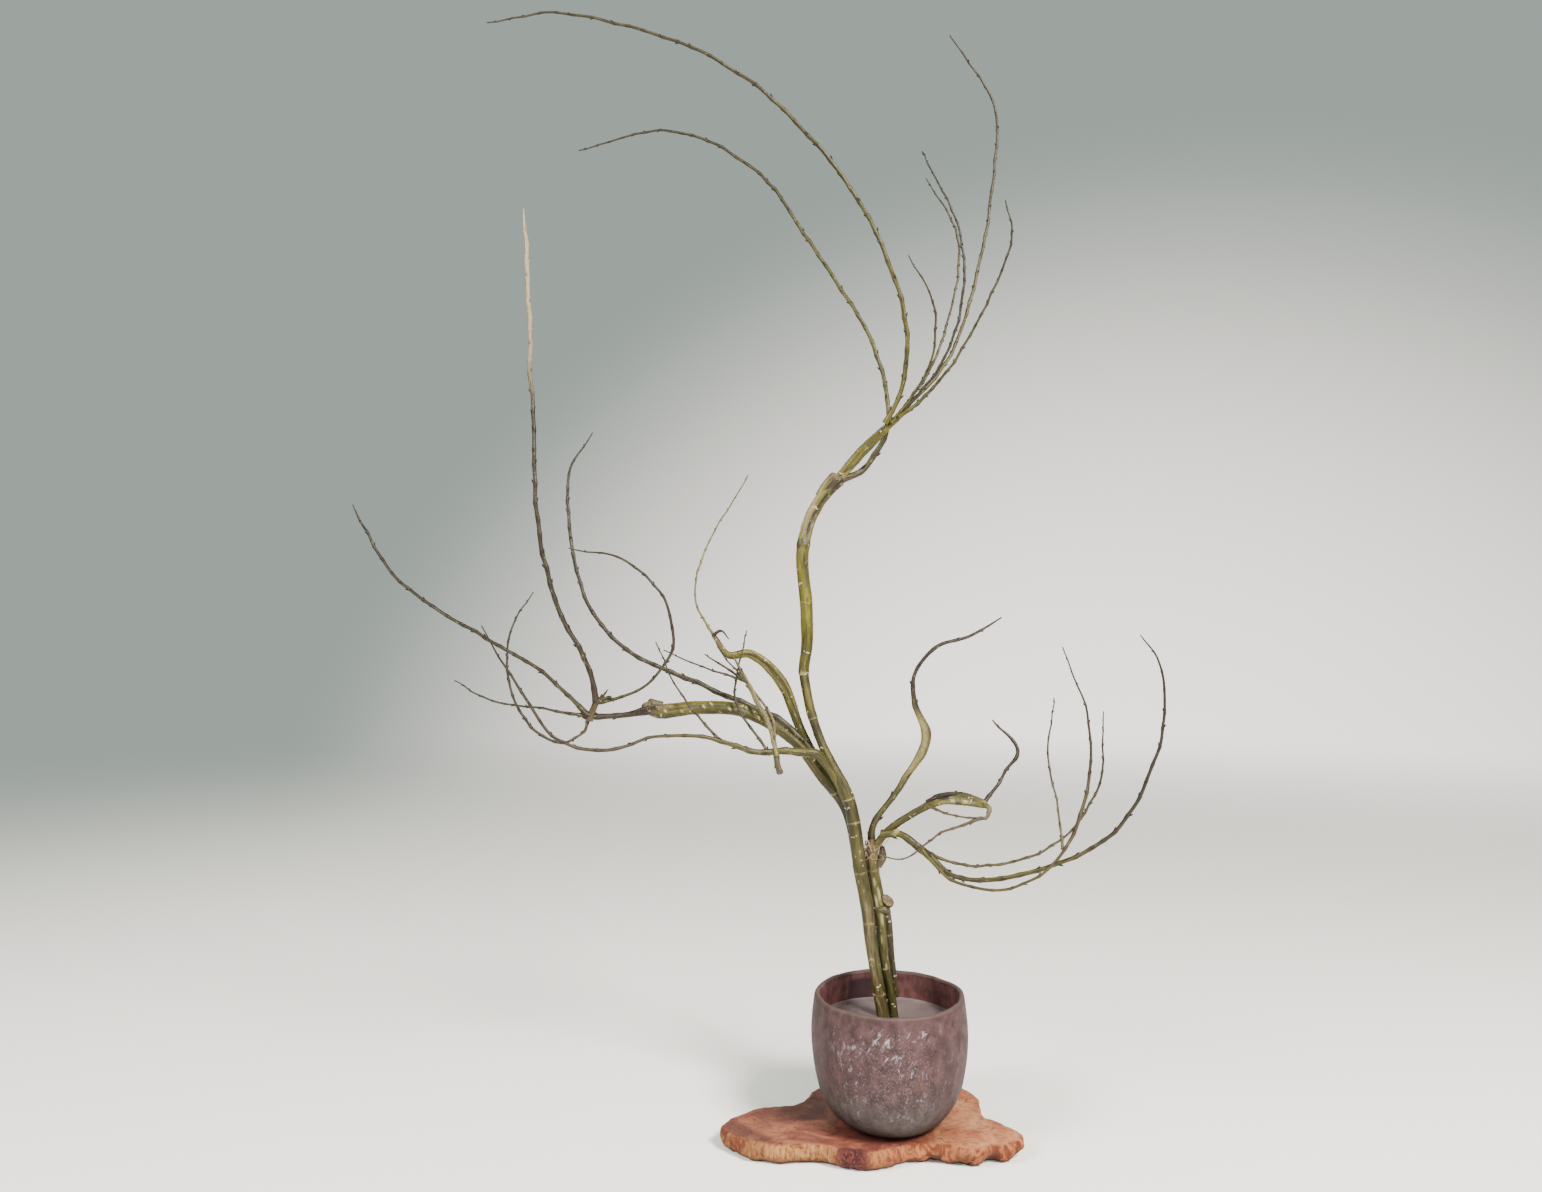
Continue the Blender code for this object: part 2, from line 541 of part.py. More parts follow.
def vase(mat, collection):
    outside, inside = vase_curves()
    lip_centre = (outside[0] + inside[0]) / 2
    lip = [lip_centre + VASE_WALL / 2 * np.array([-math.cos(turn), math.sin(turn)])
           for turn in np.linspace(0, math.pi, LIP_POINTS)[1:-1]]
    inner_foot = FOOT_RADIUS - FOOT_RING
    profile = [(0.0, VASE_FLOOR), (inside[-1][0] - FLOOR_ROUND, VASE_FLOOR)]
    profile += [*inside[::-1], *lip, *outside]
    profile += [(inner_foot, 0.0), (inner_foot, FOOT_RECESS), (0.0, FOOT_RECESS)]
    obj = turned("vase", profile, VASE_BASE, collection)
    obj.data.materials.append(mat)
    return obj


def water(stems, mat, collection, cutters):
    """The water's own body: the vase's inside, with a hole for every stem."""
    _, inside = vase_curves()
    level = WATER_LEVEL - VASE_BASE
    edge = np.interp(level, inside[::-1, 1], inside[::-1, 0])
    wall = [(radius - CLEARANCE, height) for radius, height in inside
            if height < level - WALL_POINT_GAP]
    floor = VASE_FLOOR + CLEARANCE
    profile = [(0.0, level), (edge - CLEARANCE, level), *wall]
    profile += [(inside[-1][0] - FLOOR_ROUND - CLEARANCE, floor), (0.0, floor)]
    obj = turned("water", profile, VASE_BASE, collection)
    holes = [kenzan_pocket(cutters)]
    for stem in stems:
        stations = shoot_stations(stem)
        stations = stations[stations[:, 2] < WATER_LEVEL + HOLE_ABOVE_WATER]
        holes.append(sweep("stem_hole", stations, stem.flat, STEM_HOLE_GAP, cutters))
    combine(obj, holes, "DIFFERENCE")
    obj.data.materials.append(mat)
    return obj


def kenzan_pocket(cutters):
    """The room that the pin holder and its pins take in the water."""
    low = VASE_BASE
    high = KENZAN_BASE + KENZAN_THICKNESS + PIN_HEIGHT + CLEARANCE
    bm = bmesh.new()
    bmesh.ops.create_cone(bm, cap_ends=True, segments=DISC_SEGMENTS, depth=high - low,
                          radius1=KENZAN_RADIUS + 2 * CLEARANCE,
                          radius2=KENZAN_RADIUS + 2 * CLEARANCE)
    bmesh.ops.translate(bm, verts=bm.verts, vec=(*KENZAN_CENTRE, (high + low) / 2))
    return mesh_object("kenzan_pocket", bm, cutters)


def is_clear_of_stems(x, y, stems):
    """Whether a pin at x, y stays clear of every stem that stands on the disc."""
    for stem in stems:
        foot, bend = stem.route[0], stem.route[1]
        rise = PIN_HEIGHT / (bend[2] - foot[2])
        for share in (0.0, rise):
            axis_x = foot[0] + share * (bend[0] - foot[0])
            axis_y = foot[1] + share * (bend[1] - foot[1])
            if math.hypot(x - axis_x, y - axis_y) < foot[3] / 2 + PIN_RADIUS + PIN_MARGIN:
                return False
    return True


def kenzan(stems, mat, collection):
    bm = bmesh.new()
    bmesh.ops.create_cone(bm, cap_ends=True, segments=DISC_SEGMENTS, radius1=KENZAN_RADIUS,
                          radius2=KENZAN_RADIUS, depth=KENZAN_THICKNESS)
    disc_middle = KENZAN_BASE + KENZAN_THICKNESS / 2
    bmesh.ops.translate(bm, verts=bm.verts, vec=(*KENZAN_CENTRE, disc_middle))
    obj = mesh_object("kenzan", bm, collection)
    height = PIN_HEIGHT + PIN_ROOT
    pins = []
    reach = int(KENZAN_RADIUS / PIN_PITCH) + 1
    for row in range(-reach, reach + 1):
        for column in range(-reach, reach + 1):
            x = KENZAN_CENTRE[0] + PIN_PITCH * (column + 0.5 * (row % 2))
            y = KENZAN_CENTRE[1] + PIN_PITCH * row * math.sqrt(0.75)
            from_middle = math.hypot(x - KENZAN_CENTRE[0], y - KENZAN_CENTRE[1])
            if from_middle > KENZAN_RADIUS - PIN_EDGE or not is_clear_of_stems(x, y, stems):
                continue
            bm = bmesh.new()
            bmesh.ops.create_cone(bm, cap_ends=True, segments=4, radius1=PIN_RADIUS,
                                  radius2=PIN_TIP * PIN_RADIUS, depth=height)
            middle = KENZAN_BASE + KENZAN_THICKNESS - PIN_ROOT + height / 2
            bmesh.ops.translate(bm, verts=bm.verts, vec=(x, y, middle))
            pins.append(mesh_object("pin", bm, collection))
    combine(obj, pins, "UNION")
    obj.data.materials.append(mat)
    return obj


def build():
    for obj in list(bpy.data.objects):
        bpy.data.objects.remove(obj)
    parts = bpy.data.collections.new("ikebana_arrangement")
    cutters = bpy.data.collections.new("cutters")
    for collection in (parts, cutters):
        bpy.context.scene.collection.children.link(collection)
    stems = [shoots[0] for shoots in (MAIN_BRANCH, LEFT_BRANCH, RIGHT_BRANCH)]
    burl_board(material("burl_wood", (0.30, 0.13, 0.07), 0.45), parts)
    vase(material("matte_stoneware", (0.17, 0.11, 0.095), 0.7), parts)
    water(stems, material("still_water", (0.20, 0.15, 0.14), 0.05), parts, cutters)
    kenzan(stems, material("dull_lead", (0.25, 0.25, 0.26), 0.5, 0.9), parts)
    bark = material("willow_bark", (0.24, 0.22, 0.09), 0.6)
    branch("main_branch", MAIN_BRANCH, bark, parts, seed=3)
    branch("left_branch", LEFT_BRANCH, bark, parts, seed=5)
    branch("right_branch", RIGHT_BRANCH, bark, parts, seed=8)


build()
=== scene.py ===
"""Ikebana arrangement: fantail willow in a round stoneware vase, on a burl board.

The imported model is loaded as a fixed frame. Each of its pieces is then made again
in its finished form at the same place: bark, buds and scars on the three cuttings,
the thrown and flecked vase, the water, the pin holder and the slab of burl.

Units are metres and +Z is up. -Y is the front.
"""
import functools
import math
import random
from collections import namedtuple

import bmesh
import bpy
import numpy as np
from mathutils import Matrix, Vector, noise


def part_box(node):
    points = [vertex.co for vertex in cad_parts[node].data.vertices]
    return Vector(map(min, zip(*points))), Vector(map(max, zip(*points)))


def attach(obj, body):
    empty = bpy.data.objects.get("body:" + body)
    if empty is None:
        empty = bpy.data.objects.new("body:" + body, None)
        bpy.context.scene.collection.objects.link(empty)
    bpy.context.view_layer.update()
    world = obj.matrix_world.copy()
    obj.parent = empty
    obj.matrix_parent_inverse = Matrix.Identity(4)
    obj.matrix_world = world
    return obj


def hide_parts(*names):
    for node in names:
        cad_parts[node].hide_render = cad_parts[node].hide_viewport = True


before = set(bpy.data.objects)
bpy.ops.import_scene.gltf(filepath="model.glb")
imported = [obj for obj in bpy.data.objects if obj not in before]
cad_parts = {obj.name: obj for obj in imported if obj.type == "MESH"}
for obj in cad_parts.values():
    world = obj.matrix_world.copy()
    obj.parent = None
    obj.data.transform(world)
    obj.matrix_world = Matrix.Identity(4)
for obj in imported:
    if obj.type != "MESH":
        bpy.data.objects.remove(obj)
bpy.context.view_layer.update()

VASE_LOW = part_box("vase")[0]
WATER_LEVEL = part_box("water")[1].z
BOARD_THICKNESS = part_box("burl_board")[1].z
KENZAN_LOW, KENZAN_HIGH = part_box("kenzan")
CLEARANCE = 0.0003                # gap left between pieces that touch

# ------------------------------------------------------------ routes of the wood

DISC_THICKNESS = 0.008            # the pin holder's disc
FOOT_TILT = 0.0016                # room for the tilt of the stems' cut feet
STEM_FOOT = KENZAN_LOW.z + DISC_THICKNESS + FOOT_TILT

# Where several shoots part from one another.
STEM_TOP = (-0.065, 0.03, 0.865)
FAN_ROOT = (0.01, 0.005, 0.94)
SPRIG_HEAD = (-0.185, -0.015, 0.595)
DARK_KNOT = (-0.39, -0.03, 0.55)
KNUCKLE_TOP = (-0.38, -0.035, 0.57)
CURL_END = (-0.23, -0.01, 0.655)
RIGHT_HEAD = (-0.02, 0.01, 0.37)
LEAF_END = (0.115, -0.05, 0.44)
LEAF_LOWER_END = (0.11, -0.06, 0.425)

# A shoot is a length of stem or twig. Its route is a list of (x, y, z, width),
# to the nearest 5 mm, with a point at each end and at each bend.
# flat is its thickness as a share of its width.
Shoot = namedtuple("Shoot", "name flat route")

MAIN_BRANCH = [
    Shoot("stem", 0.92, [
        (0.01, -0.01, STEM_FOOT, 0.016), (-0.01, -0.01, 0.17, 0.016),
        (-0.025, -0.01, 0.26, 0.0155), (-0.035, -0.005, 0.34, 0.0175),
        (-0.05, -0.005, 0.43, 0.0165), (-0.09, 0.0, 0.52, 0.012),
        (-0.11, 0.005, 0.60, 0.013), (-0.105, 0.01, 0.65, 0.016),
        (-0.11, 0.015, 0.78, 0.017), (-0.09, 0.025, 0.835, 0.017),
        (-0.06, 0.03, 0.865, 0.015),
    ]),
    Shoot("twisted_ribbon", 0.40, [
        (*STEM_TOP, 0.010), (-0.03, 0.02, 0.905, 0.014), (0.015, 0.005, 0.945, 0.008),
    ]),
    Shoot("lower_arm", 0.85, [
        (*STEM_TOP, 0.010), (-0.025, 0.04, 0.885, 0.009), (0.0, 0.035, 0.925, 0.007),
        (0.01, 0.03, 0.955, 0.006),
    ]),
    Shoot("lower_long_twig", 1.0, [
        (0.01, 0.03, 0.95, 0.006), (-0.01, 0.04, 1.05, 0.0055), (-0.09, 0.07, 1.20, 0.005),
        (-0.17, 0.09, 1.32, 0.0045), (-0.30, 0.12, 1.40, 0.0035), (-0.44, 0.14, 1.38, 0.002),
    ]),
    Shoot("upper_long_twig", 1.0, [
        (0.0, 0.005, 0.94, 0.006), (0.02, -0.005, 0.98, 0.006), (0.025, -0.02, 1.06, 0.006),
        (-0.02, -0.04, 1.19, 0.0055), (-0.12, -0.06, 1.32, 0.005),
        (-0.24, -0.08, 1.40, 0.004), (-0.42, -0.10, 1.44, 0.003),
        (-0.51, -0.11, 1.42, 0.0015),
    ]),
    Shoot("fan_inner_curl", 1.0, [
        (*FAN_ROOT, 0.004), (0.05, -0.03, 1.0, 0.003), (0.06, -0.05, 1.05, 0.003),
        (0.05, -0.07, 1.09, 0.0025), (0.02, -0.085, 1.135, 0.0015),
    ]),
    Shoot("fan_back", 1.0, [
        (*FAN_ROOT, 0.004), (0.065, 0.025, 1.02, 0.0035), (0.10, 0.05, 1.12, 0.003),
        (0.11, 0.07, 1.22, 0.003), (0.07, 0.09, 1.315, 0.0015),
    ]),
    Shoot("fan_dark", 1.0, [
        (*FAN_ROOT, 0.004), (0.07, -0.01, 1.01, 0.0035), (0.10, -0.02, 1.10, 0.0035),
        (0.095, -0.02, 1.20, 0.003), (0.05, 0.0, 1.31, 0.002),
    ]),
    Shoot("fan_tall", 1.0, [
        (*FAN_ROOT, 0.0055), (0.09, 0.04, 1.035, 0.0045), (0.13, 0.06, 1.14, 0.0045),
        (0.16, 0.075, 1.28, 0.004), (0.165, 0.07, 1.41, 0.0035), (0.10, 0.055, 1.505, 0.002),
    ]),
    Shoot("fan_front", 1.0, [
        (*FAN_ROOT, 0.006), (0.06, -0.03, 0.98, 0.004), (0.12, -0.08, 1.075, 0.003),
        (0.145, -0.11, 1.15, 0.0025), (0.135, -0.12, 1.19, 0.0015),
    ]),
    Shoot("slender_stem", 0.95, [
        (-0.055, 0.0, 0.435, 0.009), (-0.09, -0.01, 0.495, 0.011),
        (-0.13, -0.025, 0.505, 0.009), (-0.17, -0.035, 0.505, 0.0075),
        (-0.24, -0.045, 0.525, 0.005), (-0.30, -0.055, 0.525, 0.004),
        (-0.365, -0.07, 0.51, 0.0045), (-0.42, -0.08, 0.525, 0.004),
        (-0.465, -0.095, 0.59, 0.0035), (-0.505, -0.115, 0.665, 0.0015),
    ]),
    Shoot("slender_side_twig", 1.0, [
        (-0.155, -0.03, 0.50, 0.004), (-0.20, -0.02, 0.57, 0.003),
        (-0.185, -0.005, 0.66, 0.0015),
    ]),
    Shoot("slender_second_twig", 1.0, [
        (-0.22, -0.04, 0.52, 0.004), (-0.27, -0.03, 0.58, 0.0025),
        (-0.305, -0.03, 0.645, 0.0015),
    ]),
    Shoot("sprig", 0.70, [
        (-0.145, -0.04, 0.485, 0.0065), (-0.155, -0.03, 0.53, 0.0055), (*SPRIG_HEAD, 0.0055),
        (-0.205, -0.015, 0.63, 0.0015),
    ]),
    Shoot("sprig_strand", 0.80, [
        (-0.15, -0.03, 0.515, 0.004), (-0.155, -0.02, 0.55, 0.004), (*SPRIG_HEAD, 0.002),
    ]),
    Shoot("sprig_low_twig", 1.0, [
        (*SPRIG_HEAD, 0.0035), (-0.23, -0.04, 0.61, 0.0025), (-0.29, -0.06, 0.635, 0.0015),
    ]),
    Shoot("sprig_middle_twig", 1.0, [
        (*SPRIG_HEAD, 0.0035), (-0.225, -0.03, 0.62, 0.0025), (-0.24, -0.03, 0.63, 0.0015),
    ]),
    Shoot("sprig_high_twig", 1.0, [
        (*SPRIG_HEAD, 0.003), (-0.21, -0.02, 0.62, 0.002), (-0.225, -0.025, 0.64, 0.0015),
    ]),
]

LEFT_BRANCH = [
    Shoot("stem", 0.85, [
        (0.005, 0.015, STEM_FOOT, 0.012), (-0.005, 0.015, 0.17, 0.012),
        (-0.03, 0.015, 0.30, 0.012), (-0.055, 0.01, 0.42, 0.011),
        (-0.085, 0.01, 0.465, 0.014), (-0.125, 0.005, 0.515, 0.013),
        (-0.19, -0.005, 0.555, 0.017), (-0.25, -0.01, 0.56, 0.0175),
        (-0.30, -0.015, 0.555, 0.019), (-0.315, -0.015, 0.56, 0.0165),
    ]),
    Shoot("dark_end", 0.90, [
        (-0.305, -0.015, 0.56, 0.012), (-0.345, -0.02, 0.55, 0.007), (-0.395, -0.03, 0.55, 0.0085),
    ]),
    Shoot("far_left_twig", 1.0, [
        (*DARK_KNOT, 0.0075), (-0.41, -0.025, 0.57, 0.0055), (-0.46, -0.015, 0.61, 0.005),
        (-0.61, 0.015, 0.695, 0.0045), (-0.67, 0.03, 0.74, 0.004), (-0.71, 0.04, 0.80, 0.0035),
        (-0.73, 0.045, 0.835, 0.0015),
    ]),
    Shoot("level_twig", 1.0, [
        (*DARK_KNOT, 0.005), (-0.45, -0.03, 0.56, 0.003), (-0.52, -0.015, 0.57, 0.0025),
        (-0.575, 0.0, 0.595, 0.0015),
    ]),
    Shoot("drooping_twig", 1.0, [
        (*DARK_KNOT, 0.005), (-0.395, -0.045, 0.53, 0.0035), (-0.42, -0.06, 0.52, 0.0035),
        (-0.46, -0.07, 0.545, 0.0035), (-0.485, -0.07, 0.61, 0.003),
        (-0.48, -0.06, 0.67, 0.0025), (-0.46, -0.045, 0.71, 0.0015),
    ]),
    Shoot("knuckle", 0.95, [
        (-0.39, -0.03, 0.545, 0.0075), (*KNUCKLE_TOP, 0.008),
    ]),
    Shoot("tall_twig", 0.95, [
        (*KNUCKLE_TOP, 0.0075), (-0.385, -0.04, 0.60, 0.0065), (-0.43, -0.055, 0.70, 0.006),
        (-0.45, -0.065, 0.80, 0.0055), (-0.46, -0.06, 0.95, 0.005), (-0.475, -0.04, 1.17, 0.005),
        (-0.48, -0.035, 1.215, 0.002),
    ]),
    Shoot("looping_twig", 1.0, [
        (*KNUCKLE_TOP, 0.0065), (-0.35, -0.04, 0.575, 0.004), (-0.31, -0.045, 0.595, 0.0035),
        (-0.28, -0.045, 0.64, 0.004), (-0.29, -0.05, 0.70, 0.0035),
        (-0.34, -0.055, 0.75, 0.003), (-0.41, -0.065, 0.765, 0.0015),
    ]),
    Shoot("curled_fork", 0.62, [
        (-0.08, 0.01, 0.46, 0.012), (-0.11, 0.015, 0.52, 0.012), (-0.145, 0.015, 0.60, 0.015),
        (-0.18, 0.01, 0.63, 0.012), (-0.21, 0.0, 0.63, 0.009), (*CURL_END, 0.006),
    ]),
    Shoot("curl_twig", 1.0, [
        (*CURL_END, 0.0035), (-0.255, 0.0, 0.70, 0.0025), (-0.25, 0.01, 0.75, 0.0025),
        (-0.185, 0.04, 0.875, 0.0015),
    ]),
    Shoot("curl_spur", 1.0, [
        (*CURL_END, 0.004), (-0.22, -0.015, 0.66, 0.003), (-0.21, -0.02, 0.65, 0.0015),
    ]),
    Shoot("back_twig", 0.90, [
        (-0.10, 0.01, 0.50, 0.0095), (-0.14, 0.02, 0.54, 0.0085),
        (-0.24, 0.015, 0.585, 0.0065), (-0.35, 0.005, 0.64, 0.0055),
        (-0.40, 0.01, 0.70, 0.005), (-0.43, 0.03, 0.82, 0.0045),
        (-0.43, 0.035, 0.88, 0.0035), (-0.40, 0.045, 0.935, 0.0015),
    ]),
]

RIGHT_BRANCH = [
    Shoot("stem", 0.85, [
        (0.02, 0.005, STEM_FOOT, 0.013), (0.005, 0.005, 0.17, 0.013),
        (-0.005, 0.005, 0.23, 0.014), (-0.01, 0.005, 0.27, 0.015),
        (-0.015, 0.01, 0.31, 0.019), (-0.02, 0.01, 0.345, 0.019),
        (-0.02, 0.01, 0.38, 0.0155),
    ]),
    Shoot("second_stem", 0.90, [
        (0.01, 0.01, 0.18, 0.010), (0.005, 0.01, 0.23, 0.009), (0.0, 0.01, 0.28, 0.0095),
        (-0.005, 0.01, 0.305, 0.011),
    ]),
    Shoot("upper_flat_shoot", 0.62, [
        (*RIGHT_HEAD, 0.009), (-0.02, 0.01, 0.40, 0.0085), (0.02, 0.02, 0.455, 0.0075),
        (0.05, 0.025, 0.50, 0.0115), (0.055, 0.03, 0.525, 0.0115), (0.04, 0.03, 0.565, 0.007),
        (0.04, 0.03, 0.60, 0.005), (0.07, 0.03, 0.64, 0.005), (0.12, 0.035, 0.655, 0.004),
        (0.16, 0.04, 0.68, 0.002),
    ]),
    Shoot("leaf_like_shoot", 0.50, [
        (*RIGHT_HEAD, 0.0105), (0.0, -0.005, 0.40, 0.010), (0.06, -0.03, 0.44, 0.011),
        (0.09, -0.04, 0.445, 0.0165), (*LEAF_END, 0.011),
    ]),
    Shoot("leaf_curl", 0.70, [
        (*LEAF_END, 0.006), (0.12, -0.055, 0.435, 0.005), (0.115, -0.06, 0.425, 0.0045),
        (*LEAF_LOWER_END, 0.004),
    ]),
    Shoot("leaf_tip_twig", 1.0, [
        (*LEAF_END, 0.005), (0.15, -0.035, 0.48, 0.004), (0.165, -0.03, 0.505, 0.005),
        (0.135, -0.02, 0.545, 0.002),
    ]),
    Shoot("leaf_under_twig", 1.0, [
        (0.045, -0.025, 0.435, 0.004), (0.08, -0.045, 0.425, 0.0025),
        (*LEAF_LOWER_END, 0.0025),
    ]),
    Shoot("falling_twig", 1.0, [
        (*LEAF_LOWER_END, 0.004), (0.06, -0.06, 0.405, 0.003), (0.01, -0.045, 0.37, 0.002),
        (-0.04, -0.03, 0.385, 0.0015),
    ]),
    Shoot("long_right_twig", 0.95, [
        (-0.01, -0.005, 0.395, 0.009), (0.015, -0.015, 0.395, 0.0085),
        (0.045, -0.03, 0.375, 0.009), (0.08, -0.05, 0.35, 0.006),
        (0.12, -0.07, 0.35, 0.006), (0.23, -0.11, 0.395, 0.005),
        (0.275, -0.13, 0.445, 0.0045), (0.31, -0.145, 0.55, 0.0035),
        (0.305, -0.145, 0.625, 0.0025), (0.285, -0.145, 0.655, 0.0015),
    ]),
    Shoot("upper_right_twig", 1.0, [
        (0.03, -0.02, 0.385, 0.0055), (0.06, -0.03, 0.37, 0.004),
        (0.11, -0.035, 0.36, 0.0035), (0.17, -0.04, 0.37, 0.0035),
        (0.22, -0.035, 0.395, 0.003), (0.27, -0.025, 0.46, 0.003),
        (0.28, -0.015, 0.555, 0.0015),
    ]),
    Shoot("lower_right_twig", 1.0, [
        (0.04, -0.03, 0.38, 0.006), (0.07, -0.06, 0.35, 0.004), (0.12, -0.085, 0.34, 0.0035),
        (0.18, -0.105, 0.37, 0.0035), (0.22, -0.105, 0.43, 0.0045),
        (0.24, -0.09, 0.54, 0.003), (0.21, -0.08, 0.64, 0.0015),
    ]),
    Shoot("upright_twig", 1.0, [
        (0.20, -0.105, 0.395, 0.0035), (0.20, -0.08, 0.45, 0.0025),
        (0.195, -0.065, 0.50, 0.0025), (0.205, -0.055, 0.575, 0.0015),
    ]),
]

# Short pieces of wood: knots, and what is left where shoots were cut or broken off.
STUBS = {
    "main_branch": [
        Shoot("cut_stub", 0.80, [
            (-0.088, 0.026, 0.842, 0.0160), (-0.076, 0.025, 0.858, 0.0170),
            (-0.067, 0.022, 0.870, 0.0145),
        ]),
        Shoot("kink_stub", 0.80, [
            (-0.056, -0.004, 0.435, 0.011), (-0.050, -0.008, 0.446, 0.008),
        ]),
        Shoot("sprig_stub", 0.70, [
            (-0.148, -0.038, 0.500, 0.005), (-0.145, -0.041, 0.487, 0.007),
            (-0.142, -0.042, 0.479, 0.009),
        ]),
    ],
    "left_branch": [
        Shoot("arm_end", 0.80, [
            (-0.297, -0.015, 0.561, 0.014), (-0.311, -0.018, 0.566, 0.0125),
        ]),
        Shoot("knuckle_spur", 1.0, [
            (-0.378, -0.036, 0.571, 0.004), (-0.369, -0.039, 0.580, 0.003),
            (-0.364, -0.040, 0.586, 0.0012),
        ]),
        Shoot("knuckle_spur", 1.0, [
            (-0.372, -0.038, 0.573, 0.004), (-0.361, -0.041, 0.576, 0.003),
            (-0.356, -0.042, 0.570, 0.0012),
        ]),
        Shoot("knot_spur", 1.0, [
            (-0.392, -0.032, 0.552, 0.006), (-0.398, -0.036, 0.560, 0.002),
        ]),
    ],
    "right_branch": [
        Shoot("cut_second_stem", 0.50, [
            (-0.008, 0.012, 0.300, 0.0200), (-0.002, 0.003, 0.306, 0.0200),
        ]),
        Shoot("stem_knot", 0.90, [
            (-0.016, 0.006, 0.292, 0.013), (-0.008, 0.004, 0.294, 0.012),
            (-0.001, 0.007, 0.291, 0.009),
        ]),
        Shoot("head_knob", 0.90, [
            (-0.013, 0.008, 0.352, 0.008), (-0.007, 0.006, 0.364, 0.010),
            (-0.007, 0.007, 0.374, 0.0075),
        ]),
        Shoot("shoot_knob", 0.90, [
            (0.006, -0.012, 0.396, 0.007), (0.009, -0.015, 0.400, 0.006),
        ]),
        Shoot("bark_beak", 0.60, [
            (0.046, -0.027, 0.4405, 0.003), (0.062, -0.036, 0.4495, 0.0055),
            (0.076, -0.041, 0.4535, 0.005), (0.090, -0.043, 0.4545, 0.0012),
        ]),
    ],
}

# ------------------------------------------------------------------- geometry

def curve_through(points, spacing, closed=False):
    """Points about `spacing` apart on a centripetal Catmull-Rom curve."""
    pts = np.array(points, dtype=float)
    if closed:
        pts = np.vstack([pts[-1], pts, pts[0], pts[1]])
    else:
        pts = np.vstack([2 * pts[0] - pts[1], pts, 2 * pts[-1] - pts[-2]])
    out = []
    for p0, p1, p2, p3 in zip(pts, pts[1:], pts[2:], pts[3:]):
        t0 = 0.0
        t1 = t0 + math.sqrt(np.linalg.norm(p1 - p0))
        t2 = t1 + math.sqrt(np.linalg.norm(p2 - p1))
        t3 = t2 + math.sqrt(np.linalg.norm(p3 - p2))
        steps = max(1, round(np.linalg.norm(p2 - p1) / spacing))
        for t in np.linspace(t1, t2, steps, endpoint=False):
            a1 = ((t1 - t) * p0 + (t - t0) * p1) / (t1 - t0)
            a2 = ((t2 - t) * p1 + (t - t1) * p2) / (t2 - t1)
            a3 = ((t3 - t) * p2 + (t - t2) * p3) / (t3 - t2)
            b1 = ((t2 - t) * a1 + (t - t0) * a2) / (t2 - t0)
            b2 = ((t3 - t) * a2 + (t - t1) * a3) / (t3 - t1)
            out.append(((t2 - t) * b1 + (t - t1) * b2) / (t2 - t1))
    if not closed:
        out.append(pts[-2])
    return np.array(out)


def distances(points):
    """How far along the points each one lies."""
    steps = np.linalg.norm(np.diff(points, axis=0), axis=1)
    return np.concatenate([[0.0], np.cumsum(steps)])


def unit(vectors):
    return vectors / np.linalg.norm(vectors, axis=-1, keepdims=True)


def smoothstep(low, high, value):
    share = np.clip((value - low) / (high - low), 0.0, 1.0)
    return share * share * (3.0 - 2.0 * share)


def noise_at(points, size, seed=0.0):
    """Smooth noise of features about `size` long at each of the points."""
    return np.array([noise.noise(Vector(point) / size + Vector((seed, seed, seed)))
                     for point in points])


SAME_PLACE = 1e-6                 # points closer than this become one
SHARP_ANGLE = math.radians(50)    # edges that turn by more than this stay sharp


def new_layers(bm):
    """The tone layer and the UV map that every part of a piece has."""
    return bm.verts.layers.float_color.new("tone"), bm.loops.layers.uv.new("wrap")


def rolled(surface, tone, along):
    """A grid rolled round into a skin.

    surface has a row for each ring and a point for each place round it. A ring
    that has shrunk to one point closes its end. tone is a colour for each point,
    and along is each ring's place on the UV map's second axis.
    """
    rows, columns = len(surface) - 1, surface.shape[1]
    bm = bmesh.new()
    bmesh.ops.create_grid(bm, x_segments=columns, y_segments=rows, size=0.5)
    tone_layer, uv_layer = new_layers(bm)
    places = np.concatenate([surface, surface[:, :1]], axis=1).reshape(-1, 3)
    colours = np.concatenate([tone, tone[:, :1]], axis=1).reshape(-1, 4)
    for vert, place, colour in zip(bm.verts, places, colours):
        vert.co = place
        vert[tone_layer] = colour
    for face in bm.faces:
        for loop in face.loops:
            row, column = divmod(loop.vert.index, columns + 1)
            loop[uv_layer].uv = (column / columns, along[row])
    bmesh.ops.remove_doubles(bm, verts=bm.verts, dist=SAME_PLACE)
    return bm


def in_scene(name, data):
    """A new object of the data, linked to the scene."""
    obj = bpy.data.objects.new(name, data)
    bpy.context.scene.collection.objects.link(obj)
    return obj


def cylinder(segments, radius, tip_radius, height, middle=(0.0, 0.0, 0.0)):
    """A closed upright cylinder about its middle, or a cone cut off at its tip."""
    bm = bmesh.new()
    bmesh.ops.create_cone(bm, cap_ends=True, segments=segments, radius1=radius,
                          radius2=tip_radius, depth=height)
    bmesh.ops.translate(bm, verts=bm.verts, vec=middle)
    return bm


def gathered(name, parts):
    """One object of all the bmeshes, which are freed."""
    whole = bmesh.new()
    for part in parts:
        mesh = bpy.data.meshes.new("part")
        part.to_mesh(mesh)
        part.free()
        whole.from_mesh(mesh)
        bpy.data.meshes.remove(mesh)
    mesh = bpy.data.meshes.new(name)
    whole.to_mesh(mesh)
    whole.free()
    mesh.shade_smooth()
    mesh.set_sharp_from_angle(angle=SHARP_ANGLE)
    return in_scene(name, mesh)


